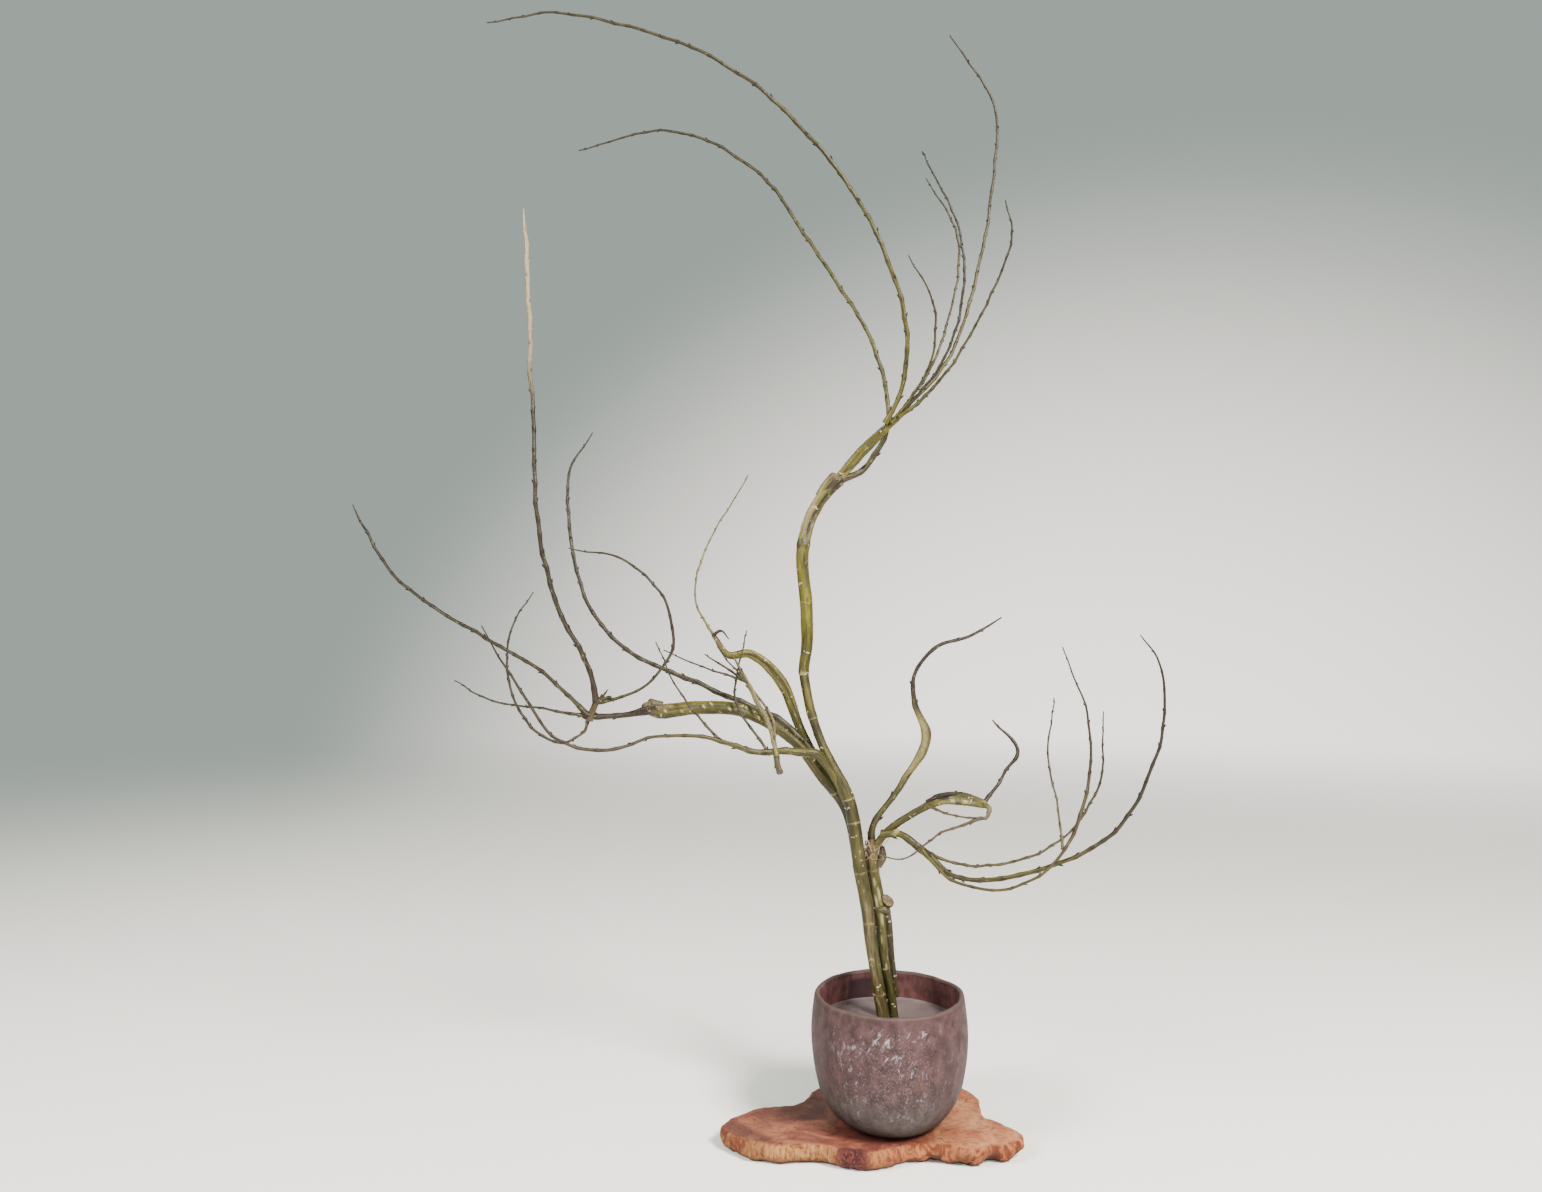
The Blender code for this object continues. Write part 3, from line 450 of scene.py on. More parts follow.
# ----------------------------------------------------------------------- wood

Size = namedtuple("Size", "least_width spacing sides gap kink swell")
SIZES = [                         # for shoots of at least this mean width
    Size(0.0095, 0.0016, 36, 0.045, 0.0006, 0.08),
    Size(0.0060, 0.0018, 20, 0.030, 0.0009, 0.12),
    Size(0.0036, 0.0018, 12, 0.021, 0.0011, 0.18),
    Size(0.0, 0.0018, 9, 0.016, 0.0010, 0.26),
]
SLOW_BEND = 0.0022                # most that the wood strays from its route on one axis
SLOW_LENGTH = 0.055               # about how long one bend is
SLOW_SHIFTS = (                   # into the noise, one for each axis
    (9.3, -1.5, -8.2), (-5.4, 7.1, 3.6), (2.7, 4.4, -6.3),
)
BENDS_START, BENDS_FULL = 0.02, 0.15    # heights above the water
BUD_TURN = math.radians(144.0)    # willow buds sit on a two-fifths spiral
BUD_MAX_WIDTH = 0.0095            # thicker wood has lost its buds
ROUGHNESS = 0.00035               # height of the unevenness of thick bark
FRAY = 0.45                       # how ragged the edge of a patch is

# Rings left by a year's growth on the stems: how pale each is and how much the
# wood swells above it.
Ring = namedtuple("Ring", "height pale collar")
RINGS = {
    "main_branch": (
        Ring(0.19, 0.50, 0.02), Ring(0.28, 0.50, 0.02), Ring(0.345, 0.45, 0.01),
        Ring(0.41, 0.50, 0.03), Ring(0.44, 0.70, 0.08), Ring(0.545, 0.95, 0.12),
        Ring(0.605, 1.0, 0.14), Ring(0.70, 0.3, 0.02), Ring(0.785, 0.4, 0.06),
    ),
    "left_branch": (Ring(0.33, 0.4, 0.02), Ring(0.445, 0.5, 0.06)),
    "right_branch": (Ring(0.22, 0.35, 0.02), Ring(0.345, 0.35, 0.04)),
}
RING_ROWS = (-0.0030, -0.0014, -0.0006, 0.0, 0.0006, 0.0014, 0.0030)
LEAST_ROW_GAP = 0.0003

# The four tones of bark. Dark also carries painted shade, and pale, bare and yellow also carry
# painted light.
YELLOW, DARK, PALE, BARE = range(4)

# Bark tones along a shoot: share of the way, then yellow, dark, pale and bare. Those
# left out are 0.
BARK_STOPS = {
    "main_stem": [
        (0.0, 0.1, 0.95), (0.11, 0.15, 0.85), (0.16, 0.15, 0.3), (0.4, 0.2, 0.22),
        (0.58, 0.3, 0.2), (0.7, 0.75, 0.0), (0.86, 0.9, 0.0), (0.95, 0.85, 0.05),
        (1.0, 0.4, 0.4),
    ],
    "left_stem": [
        (0.0, 0.1, 0.95), (0.13, 0.1, 0.85), (0.2, 0.05, 0.55), (0.52, 0.1, 0.5),
        (0.62, 0.6, 0.22), (0.92, 0.8, 0.15), (0.97, 0.3, 0.4), (1.0, 0.1, 0.6, 0.0, 0.1),
    ],
    "right_stem": [
        (0.0, 0.1, 0.95), (0.28, 0.1, 0.7), (0.42, 0.25, 0.45), (0.7, 0.5, 0.25),
        (0.9, 0.5, 0.25), (1.0, 0.3, 0.3, 0.0, 0.4),
    ],
    "second_stem": [(0.0, 0.1, 0.7), (0.5, 0.0, 0.65), (1.0, 0.0, 0.75, 0.0, 0.1)],
    "ribbon": [(0.0, 0.6, 0.2, 0.0, 0.1), (0.3, 0.9, 0.0), (1.0, 1.0, 0.0)],
    "arm": [(0.0, 0.2, 0.4, 0.0, 0.1), (0.3, 0.25, 0.5), (1.0, 0.6, 0.15)],
    "curl": [
        (0.0, 0.5, 0.15), (0.55, 0.85, 0.0), (0.85, 1.0, 0.0), (0.93, 0.6, 0.3, 0.15, 0.1),
        (1.0, 0.1, 0.7, 0.0, 0.2),
    ],
    "flat_twig": [
        (0.0, 0.2, 0.5), (0.22, 0.5, 0.3), (0.32, 1.0, 0.0, 0.08), (0.48, 1.0, 0.0, 0.06),
        (0.58, 0.1, 0.95), (1.0, 0.0, 1.0),
    ],
    "leaf": [
        (0.0, 0.5, 0.1, 0.1, 0.3), (0.15, 0.45, 0.25), (0.55, 0.5, 0.25), (0.68, 1.0, 0.0),
        (1.0, 1.0, 0.0, 0.1),
    ],
    "curled_tip": [(0.0, 0.7, 0.3), (0.4, 0.5, 0.4, 0.1, 0.08), (1.0, 0.2, 0.7, 0.0, 0.08)],
    "black": [(0.0, 0.0, 1.0), (1.0, 0.0, 1.0)],
    "olive": [(0.0, 0.6, 0.1), (0.45, 0.35, 0.4), (1.0, 0.1, 0.8)],
    "brown": [(0.0, 0.3, 0.5), (0.4, 0.1, 0.75), (1.0, 0.0, 0.9)],
    "mauve": [
        (0.0, 0.7, 0.2), (0.35, 0.5, 0.35, 0.0, 0.03), (0.6, 0.2, 0.7, 0.0, 0.04),
        (1.0, 0.0, 0.95),
    ],
    "straw": [(0.0, 1.0, 0.1, 0.1), (0.5, 1.0, 0.0, 0.2), (1.0, 0.3, 0.5, 0.1)],
    "strand": [(0.0, 0.9, 0.1, 0.1), (0.4, 0.3, 0.5, 0.0, 0.2), (1.0, 0.1, 0.6, 0.0, 0.2)],
    "thin_mauve": [
        (0.0, 0.1, 0.8, 0.0, 0.1), (0.6, 0.1, 0.7, 0.0, 0.15), (1.0, 0.0, 0.7, 0.0, 0.1),
    ],
    "long_right": [
        (0.0, 0.5, 0.2), (0.08, 0.3, 0.4), (0.18, 0.2, 0.5), (0.35, 0.6, 0.25),
        (0.6, 0.1, 0.75), (1.0, 0.0, 0.95),
    ],
    "peach_tip": [
        (0.0, 0.1, 0.85), (0.6, 0.0, 0.8), (0.74, 0.0, 0.2, 0.4, 0.5),
        (1.0, 0.0, 0.0, 0.8, 0.5),
    ],
    "knot": [(0.0, 0.1, 0.7, 0.0, 0.1), (1.0, 0.1, 0.8, 0.0, 0.05)],
    "cream": [(0.0, 0.8, 0.1, 0.2), (1.0, 0.8, 0.0, 0.5)],
    "torn": [(0.0, 0.1, 0.15, 0.0, 0.9), (0.5, 0.1, 0.0, 0.1, 1.0), (1.0, 0.0, 0.0, 0.2, 1.0)],
    "cut": [(0.0, 0.2, 0.5), (1.0, 0.0, 0.75, 0.0, 0.1)],
    "green_cut": [(0.0, 0.85, 0.0), (0.5, 0.7, 0.1), (1.0, 0.1, 0.65, 0.0, 0.1)],
}
KINDS = {name: [(*stop, 0.0, 0.0)[:5] for stop in stops]
         for name, stops in BARK_STOPS.items()}
KIND_OF = {
    "main_branch": {
        "stem": "main_stem", "twisted_ribbon": "ribbon", "lower_arm": "arm",
        "fan_dark": "black", "slender_stem": "mauve", "slender_side_twig": "brown",
        "slender_second_twig": "brown", "sprig": "straw", "sprig_strand": "strand",
        "sprig_low_twig": "brown", "sprig_middle_twig": "black", "sprig_high_twig": "brown",
        "cut_stub": "green_cut", "kink_stub": "cut", "sprig_stub": "cut",
    },
    "left_branch": {
        "stem": "left_stem", "dark_end": "black", "far_left_twig": "brown",
        "level_twig": "brown", "drooping_twig": "brown", "knuckle": "knot",
        "tall_twig": "peach_tip", "looping_twig": "brown", "curled_fork": "curl",
        "curl_twig": "straw", "curl_spur": "black", "back_twig": "brown",
        "arm_end": "cut", "knuckle_spur": "brown", "knot_spur": "black",
    },
    "right_branch": {
        "stem": "right_stem", "second_stem": "second_stem", "upper_flat_shoot": "flat_twig",
        "leaf_like_shoot": "leaf", "leaf_curl": "curled_tip", "leaf_tip_twig": "black",
        "leaf_under_twig": "thin_mauve", "falling_twig": "thin_mauve",
        "long_right_twig": "long_right",
        "upper_right_twig": "mauve", "lower_right_twig": "mauve", "upright_twig": "mauve",
        "cut_second_stem": "cut", "head_knob": "knot", "shoot_knob": "cream",
        "stem_knot": "knot",
        "bark_beak": "black",
    },
}

# Lengthwise folds of a shoot: how many, how deep as a share of the radius, and
# how far they turn, in radians for each metre.
Folds = namedtuple("Folds", "count depth turn")
PLAIN_FOLDS = Folds(5, 0.018, 3.0)
FOLDS = {
    "twisted_ribbon": Folds(3, 0.17, 15.0), "lower_arm": Folds(2, 0.08, 20.0),
    "curled_fork": Folds(3, 0.07, 8.0), "leaf_like_shoot": Folds(4, 0.05, 5.0),
    "upper_flat_shoot": Folds(3, 0.10, 12.0), "sprig": Folds(3, 0.10, 40.0),
    "second_stem": Folds(3, 0.05, 3.0),
}

# A patch of a shoot's skin runs from start to end as shares of its length, and
# spread degrees to each side of an angle that drifts on the way. On a shoot
# that rises, 0 is its left, 90 its front and 180 its right; on one that runs to
# the left 0 is below, and on one that runs to the right 0 is above. The patch
# adds amount to one tone and height to the skin.
Patch = namedtuple("Patch", "start end angle drift spread tone amount height", defaults=[0.0])
ARM_SCARS = (                     # share of the way and angle of the big pale scars
    (0.967, 90), (0.937, 70), (0.896, 95), (0.882, 120), (0.864, 40), (0.847, 80),
    (0.818, 125), (0.790, 85), (0.765, 60),
)
PATCHES = {
    "main_branch": {
        "stem": [
            # Painted highlight: a lit strip low on the front left, drawn as bare wood.
            Patch(0.14, 0.31, 65, 15, 20, BARE, 0.22),
            # Painted shade down the right side of the stem.
            Patch(0.16, 0.50, 160, 0, 30, DARK, 0.30),
            Patch(0.50, 0.66, 20, 0, 40, DARK, 0.35, -0.0003),
            # Painted shade down the right side, over a shallow groove.
            Patch(0.66, 0.86, 150, 0, 24, DARK, 0.35, -0.0004),
            Patch(0.872, 0.884, 60, 0, 130, DARK, 0.45, 0.0009),
            Patch(0.886, 0.945, 45, 0, 52, BARE, 0.20, -0.0007),
            # Painted highlight: a white glint on the left of the bare wood.
            Patch(0.890, 0.925, 20, 0, 16, PALE, 1.0, -0.0002),
            Patch(0.900, 0.940, 95, 0, 12, DARK, 0.7, -0.0003),
            Patch(0.885, 1.0, 115, 10, 20, DARK, 0.9, -0.0016),
            Patch(0.92, 1.0, 40, 10, 20, PALE, 0.35, 0.0008),
            Patch(0.95, 1.0, 5, 0, 25, DARK, 0.4, -0.0004),
        ],
        "twisted_ribbon": [Patch(0.0, 1.0, 60, 250, 20, DARK, 0.5, -0.0006),
                           Patch(0.1, 0.9, 150, 220, 14, PALE, 0.3, 0.0003)],
        "lower_arm": [Patch(0.0, 0.5, 120, 60, 30, DARK, 0.3, -0.0004)],
        "slender_stem": [Patch(0.0, 0.25, 120, 0, 50, YELLOW, 0.6)],
        "cut_stub": [Patch(0.0, 0.9, 110, 0, 24, DARK, 0.6, -0.0012),
                     Patch(0.0, 0.9, 45, 0, 24, PALE, 0.25, 0.0006),
                     Patch(0.5, 1.0, 150, 0, 50, DARK, 0.6)],
        "sprig": [Patch(0.40, 0.58, 90, 40, 40, DARK, 0.3)],
    },
    "left_branch": {
        "stem": [
            Patch(0.15, 0.50, 25, 0, 35, PALE, 0.18),
            # Painted shade on the underside of the arm.
            Patch(0.58, 0.97, 10, 0, 50, DARK, 0.35),
            Patch(0.60, 0.80, 80, 15, 10, DARK, 0.55, -0.0007),
            Patch(0.74, 0.95, 115, -15, 9, DARK, 0.45, -0.0006),
            Patch(0.94, 1.0, 150, 0, 30, BARE, 0.25, 0.0006),
            # Painted light: the top of the arm lighter and yellower.
            Patch(0.60, 0.95, 165, 0, 30, YELLOW, 0.3),
            *(Patch(at - 0.003, at + 0.002, angle, 14, 10, PALE, 0.9, 0.0006)
              for at, angle in ARM_SCARS),
        ],
        "curled_fork": [Patch(0.35, 0.80, 110, -35, 16, DARK, 0.9, -0.0010),
                        Patch(0.48, 0.70, 60, -25, 9, PALE, 0.25, 0.0003),
                        Patch(0.10, 0.50, 20, 0, 28, DARK, 0.6, -0.0004)],
    },
    "right_branch": {
        "stem": [
            Patch(0.40, 0.97, 34, 16, 9, DARK, 0.85, -0.0011),
            Patch(0.70, 0.93, 100, 20, 26, YELLOW, 0.35, 0.0006),
            Patch(0.30, 0.70, 165, 0, 24, DARK, 0.65, -0.0006),
            Patch(0.68, 0.86, 135, 20, 12, DARK, 0.75, -0.0009),
            Patch(0.76, 0.80, 75, 0, 9, PALE, 0.9, 0.0005),
            Patch(0.78, 0.83, 105, 0, 9, PALE, 0.8, 0.0005),
            Patch(0.84, 0.87, 90, 0, 8, PALE, 0.9, 0.0005),
            Patch(0.69, 0.73, 100, 0, 12, PALE, 0.7, 0.0005),
            Patch(0.62, 0.65, 80, 0, 9, PALE, 0.7, 0.0005),
            Patch(0.52, 0.54, 95, 0, 10, PALE, 0.7, 0.0005),
        ],
        "leaf_like_shoot": [
            Patch(0.58, 1.0, 22, 0, 38, DARK, 1.0, 0.0006),
            Patch(0.58, 1.0, -30, 0, 40, DARK, 1.0, 0.0006),
            Patch(0.50, 1.0, 180, 0, 40, DARK, 1.0),
            Patch(0.66, 0.97, 95, 0, 22, PALE, 0.25, -0.0006),
            Patch(0.70, 0.76, 70, 10, 22, DARK, 1.0, -0.0003),
            Patch(0.80, 0.84, 115, 0, 24, DARK, 1.0, -0.0003),
            Patch(0.84, 0.92, 75, 10, 16, DARK, 1.0, -0.0003),
            Patch(0.93, 0.98, 100, 10, 26, DARK, 0.9, -0.0003),
            Patch(0.76, 0.79, 100, 0, 14, PALE, 0.9, 0.0003),
            Patch(0.86, 0.89, 110, 0, 14, PALE, 0.9, 0.0003),
            Patch(0.10, 0.45, 30, 0, 25, DARK, 0.4),
        ],
        "upper_flat_shoot": [
            Patch(0.40, 0.60, 170, 0, 36, DARK, 0.7, 0.0004),
            Patch(0.28, 0.50, 80, 0, 40, PALE, 0.22),
            Patch(0.22, 0.27, 150, 0, 45, DARK, 0.6, 0.0010),
        ],
    },
}


def strayed(points):
    """The points moved by slow bends that depend on the place alone.

    Shoots stay joined at their forks, and near the water they keep to their holes.
    """
    out = points.copy()
    for index, point in enumerate(points):
        fade = float(smoothstep(WATER_LEVEL + BENDS_START, WATER_LEVEL + BENDS_FULL,
                                point[2]))
        place = Vector(point) / SLOW_LENGTH
        bend = [noise.noise(place + Vector(shift)) for shift in SLOW_SHIFTS]
        out[index] += SLOW_BEND * fade * np.array(bend)
    return out


def axes_along(points):
    """Tangent, sideways and forward directions; forward faces the front."""
    tangents = unit(np.gradient(points, axis=0))
    front = np.array([0.0, -1.0, 0.0])
    forward = unit(front - tangents * (tangents @ front)[:, None])
    return tangents, np.cross(forward, tangents), forward


FIRST_NODE = (0.4, 0.9)           # where the first node sits, in gaps between nodes
NODE_GAPS = (0.75, 1.3)           # how much the gaps vary
LAST_NODE = 0.3                   # least room beyond the last node, in gaps


def node_places(length, gap, draw):
    """Where the nodes sit along a shoot."""
    places = []
    place = gap * draw.uniform(*FIRST_NODE)
    while place < length - LAST_NODE * gap:
        places.append(place)
        place += gap * draw.uniform(*NODE_GAPS)
    return places


def size_of(shoot):
    mean_width = sum(point[3] for point in shoot.route) / len(shoot.route)
    return next(size for size in SIZES if mean_width >= size.least_width)


def with_ring_rows(stations, places):
    """The stations with more of them close to each ring, where its line is thin."""
    along = distances(stations[:, :3])
    extra = [place + step for place in places for step in RING_ROWS]
    rows = sorted([*along, *(row for row in extra if 0.0 < row < along[-1])])
    apart = [rows[0]]
    for row in rows[1:]:
        if row - apart[-1] > LEAST_ROW_GAP:
            apart.append(row)
    return np.array([np.interp(apart, along, column) for column in stations.T]).T


NODE_SWELL_REACH = 0.8            # of a node's swelling up and down, in widths
NODE_DARK, NODE_DARK_REACH = 0.25, 0.9    # the reach is in widths
COLLAR_EDGE = 0.0012              # how far below its ring a collar still reaches
COLLAR_FADE = 0.014               # how slowly it fades above
COLLAR_DARK = 3.0                 # the shade below a ring, for each unit of collar
COLLAR_DARK_BELOW, COLLAR_DARK_REACH = 0.012, 0.010
THICK_SWELL, THICK_SWELL_LENGTH = 0.025, 0.018
ROOT_SWELL, ROOT_REACH = 0.45, 1.2    # where a twig starts; the reach is in widths
FINE_FOLDS = 0.4                  # depth of the finer folds, as a share of the others
FINE_FOLD_TURN = 40.0             # radians for each metre
FOLD_PAINTED_SHADE = 4.0                   # painted shade in the grooves of the folds, for each unit of their depth
BUD_INSET = 0.86                  # where a bud starts, as a share of the radius
BUD_LEAST, BUD_GROWTH = 0.0024, 0.85    # a bud's length, and more for each unit of width


def wood(shoot, names, rings, draw):
    """A shoot's skin, with its buds and scars, as a list of bmeshes."""
    kind, folds, patches = names
    size = size_of(shoot)
    thick = size is SIZES[0]
    stations = curve_through(shoot.route, size.spacing)
    marked = []
    for ring in rings:
        if ring.height < stations[:, 2].max():
            nearest = np.argmin(abs(stations[:, 2] - ring.height))
            marked.append((distances(stations[:, :3])[nearest], ring))
    if marked:
        stations = with_ring_rows(stations, [place for place, _ in marked])
    points = strayed(stations[:, :3])
    width = stations[:, 3].copy()
    along = distances(points)
    tangents, sideways, forward = axes_along(points)
    tone = np.array([np.interp(along / along[-1], [stop[0] for stop in kind],
                               [stop[channel] for stop in kind])
                     for channel in range(1, 5)]).T

    places = [] if thick else node_places(along[-1], size.gap, draw)
    turn = draw.uniform(0, math.tau)
    turns = [turn + BUD_TURN * count for count in range(len(places))]

    # The wood leans a little to the other side at each node.
    marks = [0.0, *places, along[-1]]
    lean = [draw.uniform(0.4, 1.0) * size.kink for _ in places]
    for axis, part in ((sideways, math.cos), (forward, math.sin)):
        offsets = [0.0, *(-far * part(angle) for far, angle in zip(lean, turns)), 0.0]
        points += axis * np.interp(along, marks, offsets)[:, None]

    swell = np.ones(len(along))
    for place in places:
        gone = along - place
        swell += size.swell * np.exp(-(gone / (NODE_SWELL_REACH * width)) ** 2)
        tone[:, DARK] += NODE_DARK * np.exp(-(gone / (NODE_DARK_REACH * width)) ** 2)
    for place, ring in marked:
        gone = along - place
        swell += ring.collar * np.where(gone < 0, np.exp(-(gone / COLLAR_EDGE) ** 2),
                                        np.exp(-gone / COLLAR_FADE))
        tone[:, DARK] += COLLAR_DARK * ring.collar * np.exp(
            -((gone + COLLAR_DARK_BELOW) / COLLAR_DARK_REACH) ** 2)
    if thick:
        swell += THICK_SWELL * noise_at(points, THICK_SWELL_LENGTH, 2.0)
    else:
        swell += ROOT_SWELL * np.exp(-along / (ROOT_REACH * width[0]))
    half = width * swell / 2

    around = np.linspace(0, math.tau, size.sides, endpoint=False)
    phase = folds.count * around[None, :] + folds.turn * along[:, None] + draw.uniform(0, 6)
    ribbed = 1.0 + folds.depth * np.cos(phase)
    ribbed += FINE_FOLDS * folds.depth * np.cos(
        1.0 + 2 * phase + FINE_FOLD_TURN * along[:, None])
    across = (np.cos(around)[None, :] * half[:, None] * ribbed)[..., None] * sideways[:, None]
    through = (np.sin(around)[None, :] * half[:, None] * shoot.flat * ribbed)[..., None]
    surface = points[:, None] + across + through * forward[:, None]
    if thick:
        surface = roughened(surface, points)

    colours = np.repeat(tone[:, None], size.sides, axis=1)
    # Painted shade in the grooves between the folds.
    colours[..., DARK] += FOLD_PAINTED_SHADE * folds.depth * np.clip(-np.cos(phase), 0.0, 1.0) ** 2
    for place, ring in marked:
        ring_line(colours, along - place, around, ring)
    for patch in patches:
        add_patch(surface, colours, points, along, np.degrees(around), patch)
    colours = np.clip(colours, 0.0, 1.0)
    is_cut = kind is KINDS["cut"] or kind is KINDS["green_cut"]
    if is_cut:
        lean = (surface[-1] - points[-1]) @ forward[-1]
        surface[-1] -= tangents[-1] * lean[:, None] * CUT_SLANT
    surface, colours, rows = closed_ends(surface, colours, along, points, tangents, half, is_cut)
    parts = [rolled(surface, colours, rows)]
    for place, angle in zip(places, turns):
        index = int(np.searchsorted(along, place))
        out = math.cos(angle) * sideways[index] + shoot.flat * math.sin(angle) * forward[index]
        skin = points[index] + out * half[index] * BUD_INSET
        if width[index] < BUD_MAX_WIDTH:
            length = BUD_LEAST + BUD_GROWTH * width[index]
            parts.append(bud(skin, out, tangents[index], length, tone[index]))
    if thick and not is_cut:
        parts += scars(points, along, half, shoot.flat, sideways, forward, tangents, draw)
    return parts


LINE_REACH = 0.004                # nothing of a ring's line is left this far away
LINE_WIDTH = 0.0008
LINE_WANDER = 0.0008              # how far it rises and falls round the wood


def ring_line(colours, gone, around, ring):
    """Adds the thin and broken pale line of a ring to the tones."""
    for row in np.flatnonzero(abs(gone) < LINE_REACH):
        for column, angle in enumerate(around):
            spot = Vector((1.6 * math.cos(angle), 1.6 * math.sin(angle), 60 * ring.height))
            rise = LINE_WANDER * noise.noise(spot * 1.7)
            line = math.exp(-((gone[row] - rise) / LINE_WIDTH) ** 2)
            broken = 0.35 + 0.65 * float(smoothstep(-0.15, 0.2, noise.noise(spot)))
            colours[row, column, PALE] += ring.pale * line * broken


PATCH_EDGE, PATCH_EDGE_SHARE = 0.010, 0.3    # its soft ends: most in metres, and of its length
PATCH_REACH = 1.6                 # how far to the sides it is worked out, in spreads
RAGGED_ACROSS, RAGGED_ALONG = 0.004, 0.012    # size of the raggedness


def add_patch(surface, colours, points, along, angles, patch):
    """Adds a patch to a skin's tones and relief, with a ragged edge."""
    share = along / along[-1]
    edge = min(PATCH_EDGE_SHARE * (patch.end - patch.start), PATCH_EDGE / along[-1])
    reach = smoothstep(patch.start - edge, patch.start + edge, share)
    reach = reach * smoothstep(patch.end + edge, patch.end - edge, share)
    for row in np.flatnonzero(reach > 0.01):
        way = (share[row] - patch.start) / (patch.end - patch.start)
        away = (angles - patch.angle - patch.drift * way + 180.0) % 360.0 - 180.0
        for column in np.flatnonzero(abs(away) < PATCH_REACH * patch.spread):
            ragged = noise.noise(Vector((surface[row, column, 0] / RAGGED_ACROSS, patch.angle,
                                         along[row] / RAGGED_ALONG)))
            weight = math.exp(-(away[column] / (patch.spread * (1 + FRAY * ragged))) ** 4)
            weight *= reach[row]
            colours[row, column, patch.tone] += patch.amount * weight
            outward = unit(surface[row, column] - points[row])
            surface[row, column] += outward * patch.height * weight


BARK_UNEVENNESS = (               # share of the depth, width and height of its features
    (1.0, 0.006, 0.03), (0.45, 0.0022, 0.009),
)


def roughened(surface, points):
    """Lengthwise unevenness of thick bark."""
    out = surface.copy()
    for row, middle in zip(out, points):
        for place in row:
            outward = Vector(place - middle).normalized()
            rise = sum(depth * noise.noise(Vector((place[0] / width, place[1] / width,
                                                   place[2] / height)))
                       for depth, width, height in BARK_UNEVENNESS)
            place += np.array(outward * ROUGHNESS * rise)
    return out


CUT_SLANT = 0.8                   # how far a cut leans to face the front
CUT_RINGS = [                     # share of the radius, reach in radii, tones
    (0.99, 0.05, (0.0, 0.9, 0.0, 0.0)), (0.84, 0.10, (0.0, 0.9, 0.0, 0.15)),
    (0.74, 0.08, (0.0, 1.0, 0.0, 0.34)), (0.30, 0.04, (0.0, 1.0, 0.0, 0.30)),
    (0.12, 0.0, (0.0, 1.0, 0.0, 0.2)), (0.0, 0.0, (0.0, 1.0, 0.0, 0.15)),
]
TIP_RINGS = [(0.80, 0.5, None), (0.45, 0.9, None), (0.0, 1.1, None)]


def closed_ends(surface, colours, along, points, tangents, half, is_cut):
    """The skin with more rings at each end, drawn in to a point or a cut face."""
    last = half[-1]
    first = points[0][None].repeat(surface.shape[1], axis=0)
    rings, shades = [first, *surface], [colours[0], *colours]
    rows = [along[0], *along]
    middle = surface[-1].mean(axis=0)
    for share, reach, tones in CUT_RINGS if is_cut else TIP_RINGS:
        moved = middle + tangents[-1] * last * reach
        rings.append(moved + share * (surface[-1] - middle))
        shades.append(colours[-1] if tones is None else np.tile(tones, (len(first), 1)))
        rows.append(along[-1] + last * reach)
    return np.array(rings), np.array(shades), rows


BUD_ALONG, BUD_OUT = 0.92, 0.38   # how much a bud points along its twig and away from it
BUD_HALF_WIDTH = 0.24             # in lengths
BUD_TAPER = 0.55                  # how much narrower it is at its tip
BUD_SUNK = 0.15                   # how deep its root is sunk, in lengths
BUD_FLAT = 0.75
BUD_FADE = 0.6                    # share of the wood's lighter tones that it keeps


def bud(skin, out, tangent, length, tone):
    """A small pointed bud that lies close along its twig."""
    bm = bmesh.new()
    bmesh.ops.create_uvsphere(bm, u_segments=6, v_segments=6, radius=1.0)
    lean = Vector(BUD_ALONG * tangent + BUD_OUT * out).normalized()
    side = lean.cross(Vector(out)).normalized()
    away = lean.cross(side)
    tone_layer, _ = new_layers(bm)
    for vert in bm.verts:
        rise = (vert.co.z + 1.0) / 2.0
        wide = BUD_HALF_WIDTH * (1.0 - BUD_TAPER * rise ** 2) * length
        place = Vector(skin) + lean * (rise - BUD_SUNK) * length
        vert.co = place + side * vert.co.x * wide + away * vert.co.y * wide * BUD_FLAT
        shade = [value * BUD_FADE for value in tone]
        shade[DARK] = min(1.0, tone[DARK] + 0.2 + 0.35 * rise)
        vert[tone_layer] = shade
    return bm


SCAR_GAP = 0.013                  # along the wood, between clusters
SCAR_SPREAD = 0.0030              # round the wood, between the scars of one cluster
SCAR_INSET = 0.985                # how far out a scar's middle lies, in radii
SCAR_CLUSTERS = (1, 1, 2, 2, 3, 4)    # how many scars a cluster may have
SCAR_RADII = (0.0009, 0.0018)
SCAR_WIDTHS = (0.7, 1.8)          # across the wood, in radii
SCAR_TONE = (0.3, 0.0, 0.9, 0.0)


def scars(points, along, half, flat, sideways, forward, tangents, draw):
    """Pale scars of lost buds, in small clusters up thick wood."""
    out = []
    place = SCAR_GAP
    while place < along[-1] - SCAR_GAP / 2:
        index = int(np.searchsorted(along, place))
        place += SCAR_GAP * draw.uniform(0.4, 1.7)
        if points[index][2] < WATER_LEVEL:
            continue
        turn = draw.uniform(0, math.tau)
        for count in range(draw.choice(SCAR_CLUSTERS)):
            angle = turn + (count + draw.uniform(-0.3, 0.3)) * SCAR_SPREAD / half[index]
            step = min(index + draw.choice((-1, 0, 0, 1)), len(points) - 1)
            away = math.cos(angle) * sideways[step] + math.sin(angle) * forward[step]
            skin = points[step] + half[step] * SCAR_INSET * (
                math.cos(angle) * sideways[step] + flat * math.sin(angle) * forward[step])
            out.append(scar(skin, unit(away), tangents[step], draw.uniform(*SCAR_RADII),
                            draw.uniform(*SCAR_WIDTHS)))
    return out


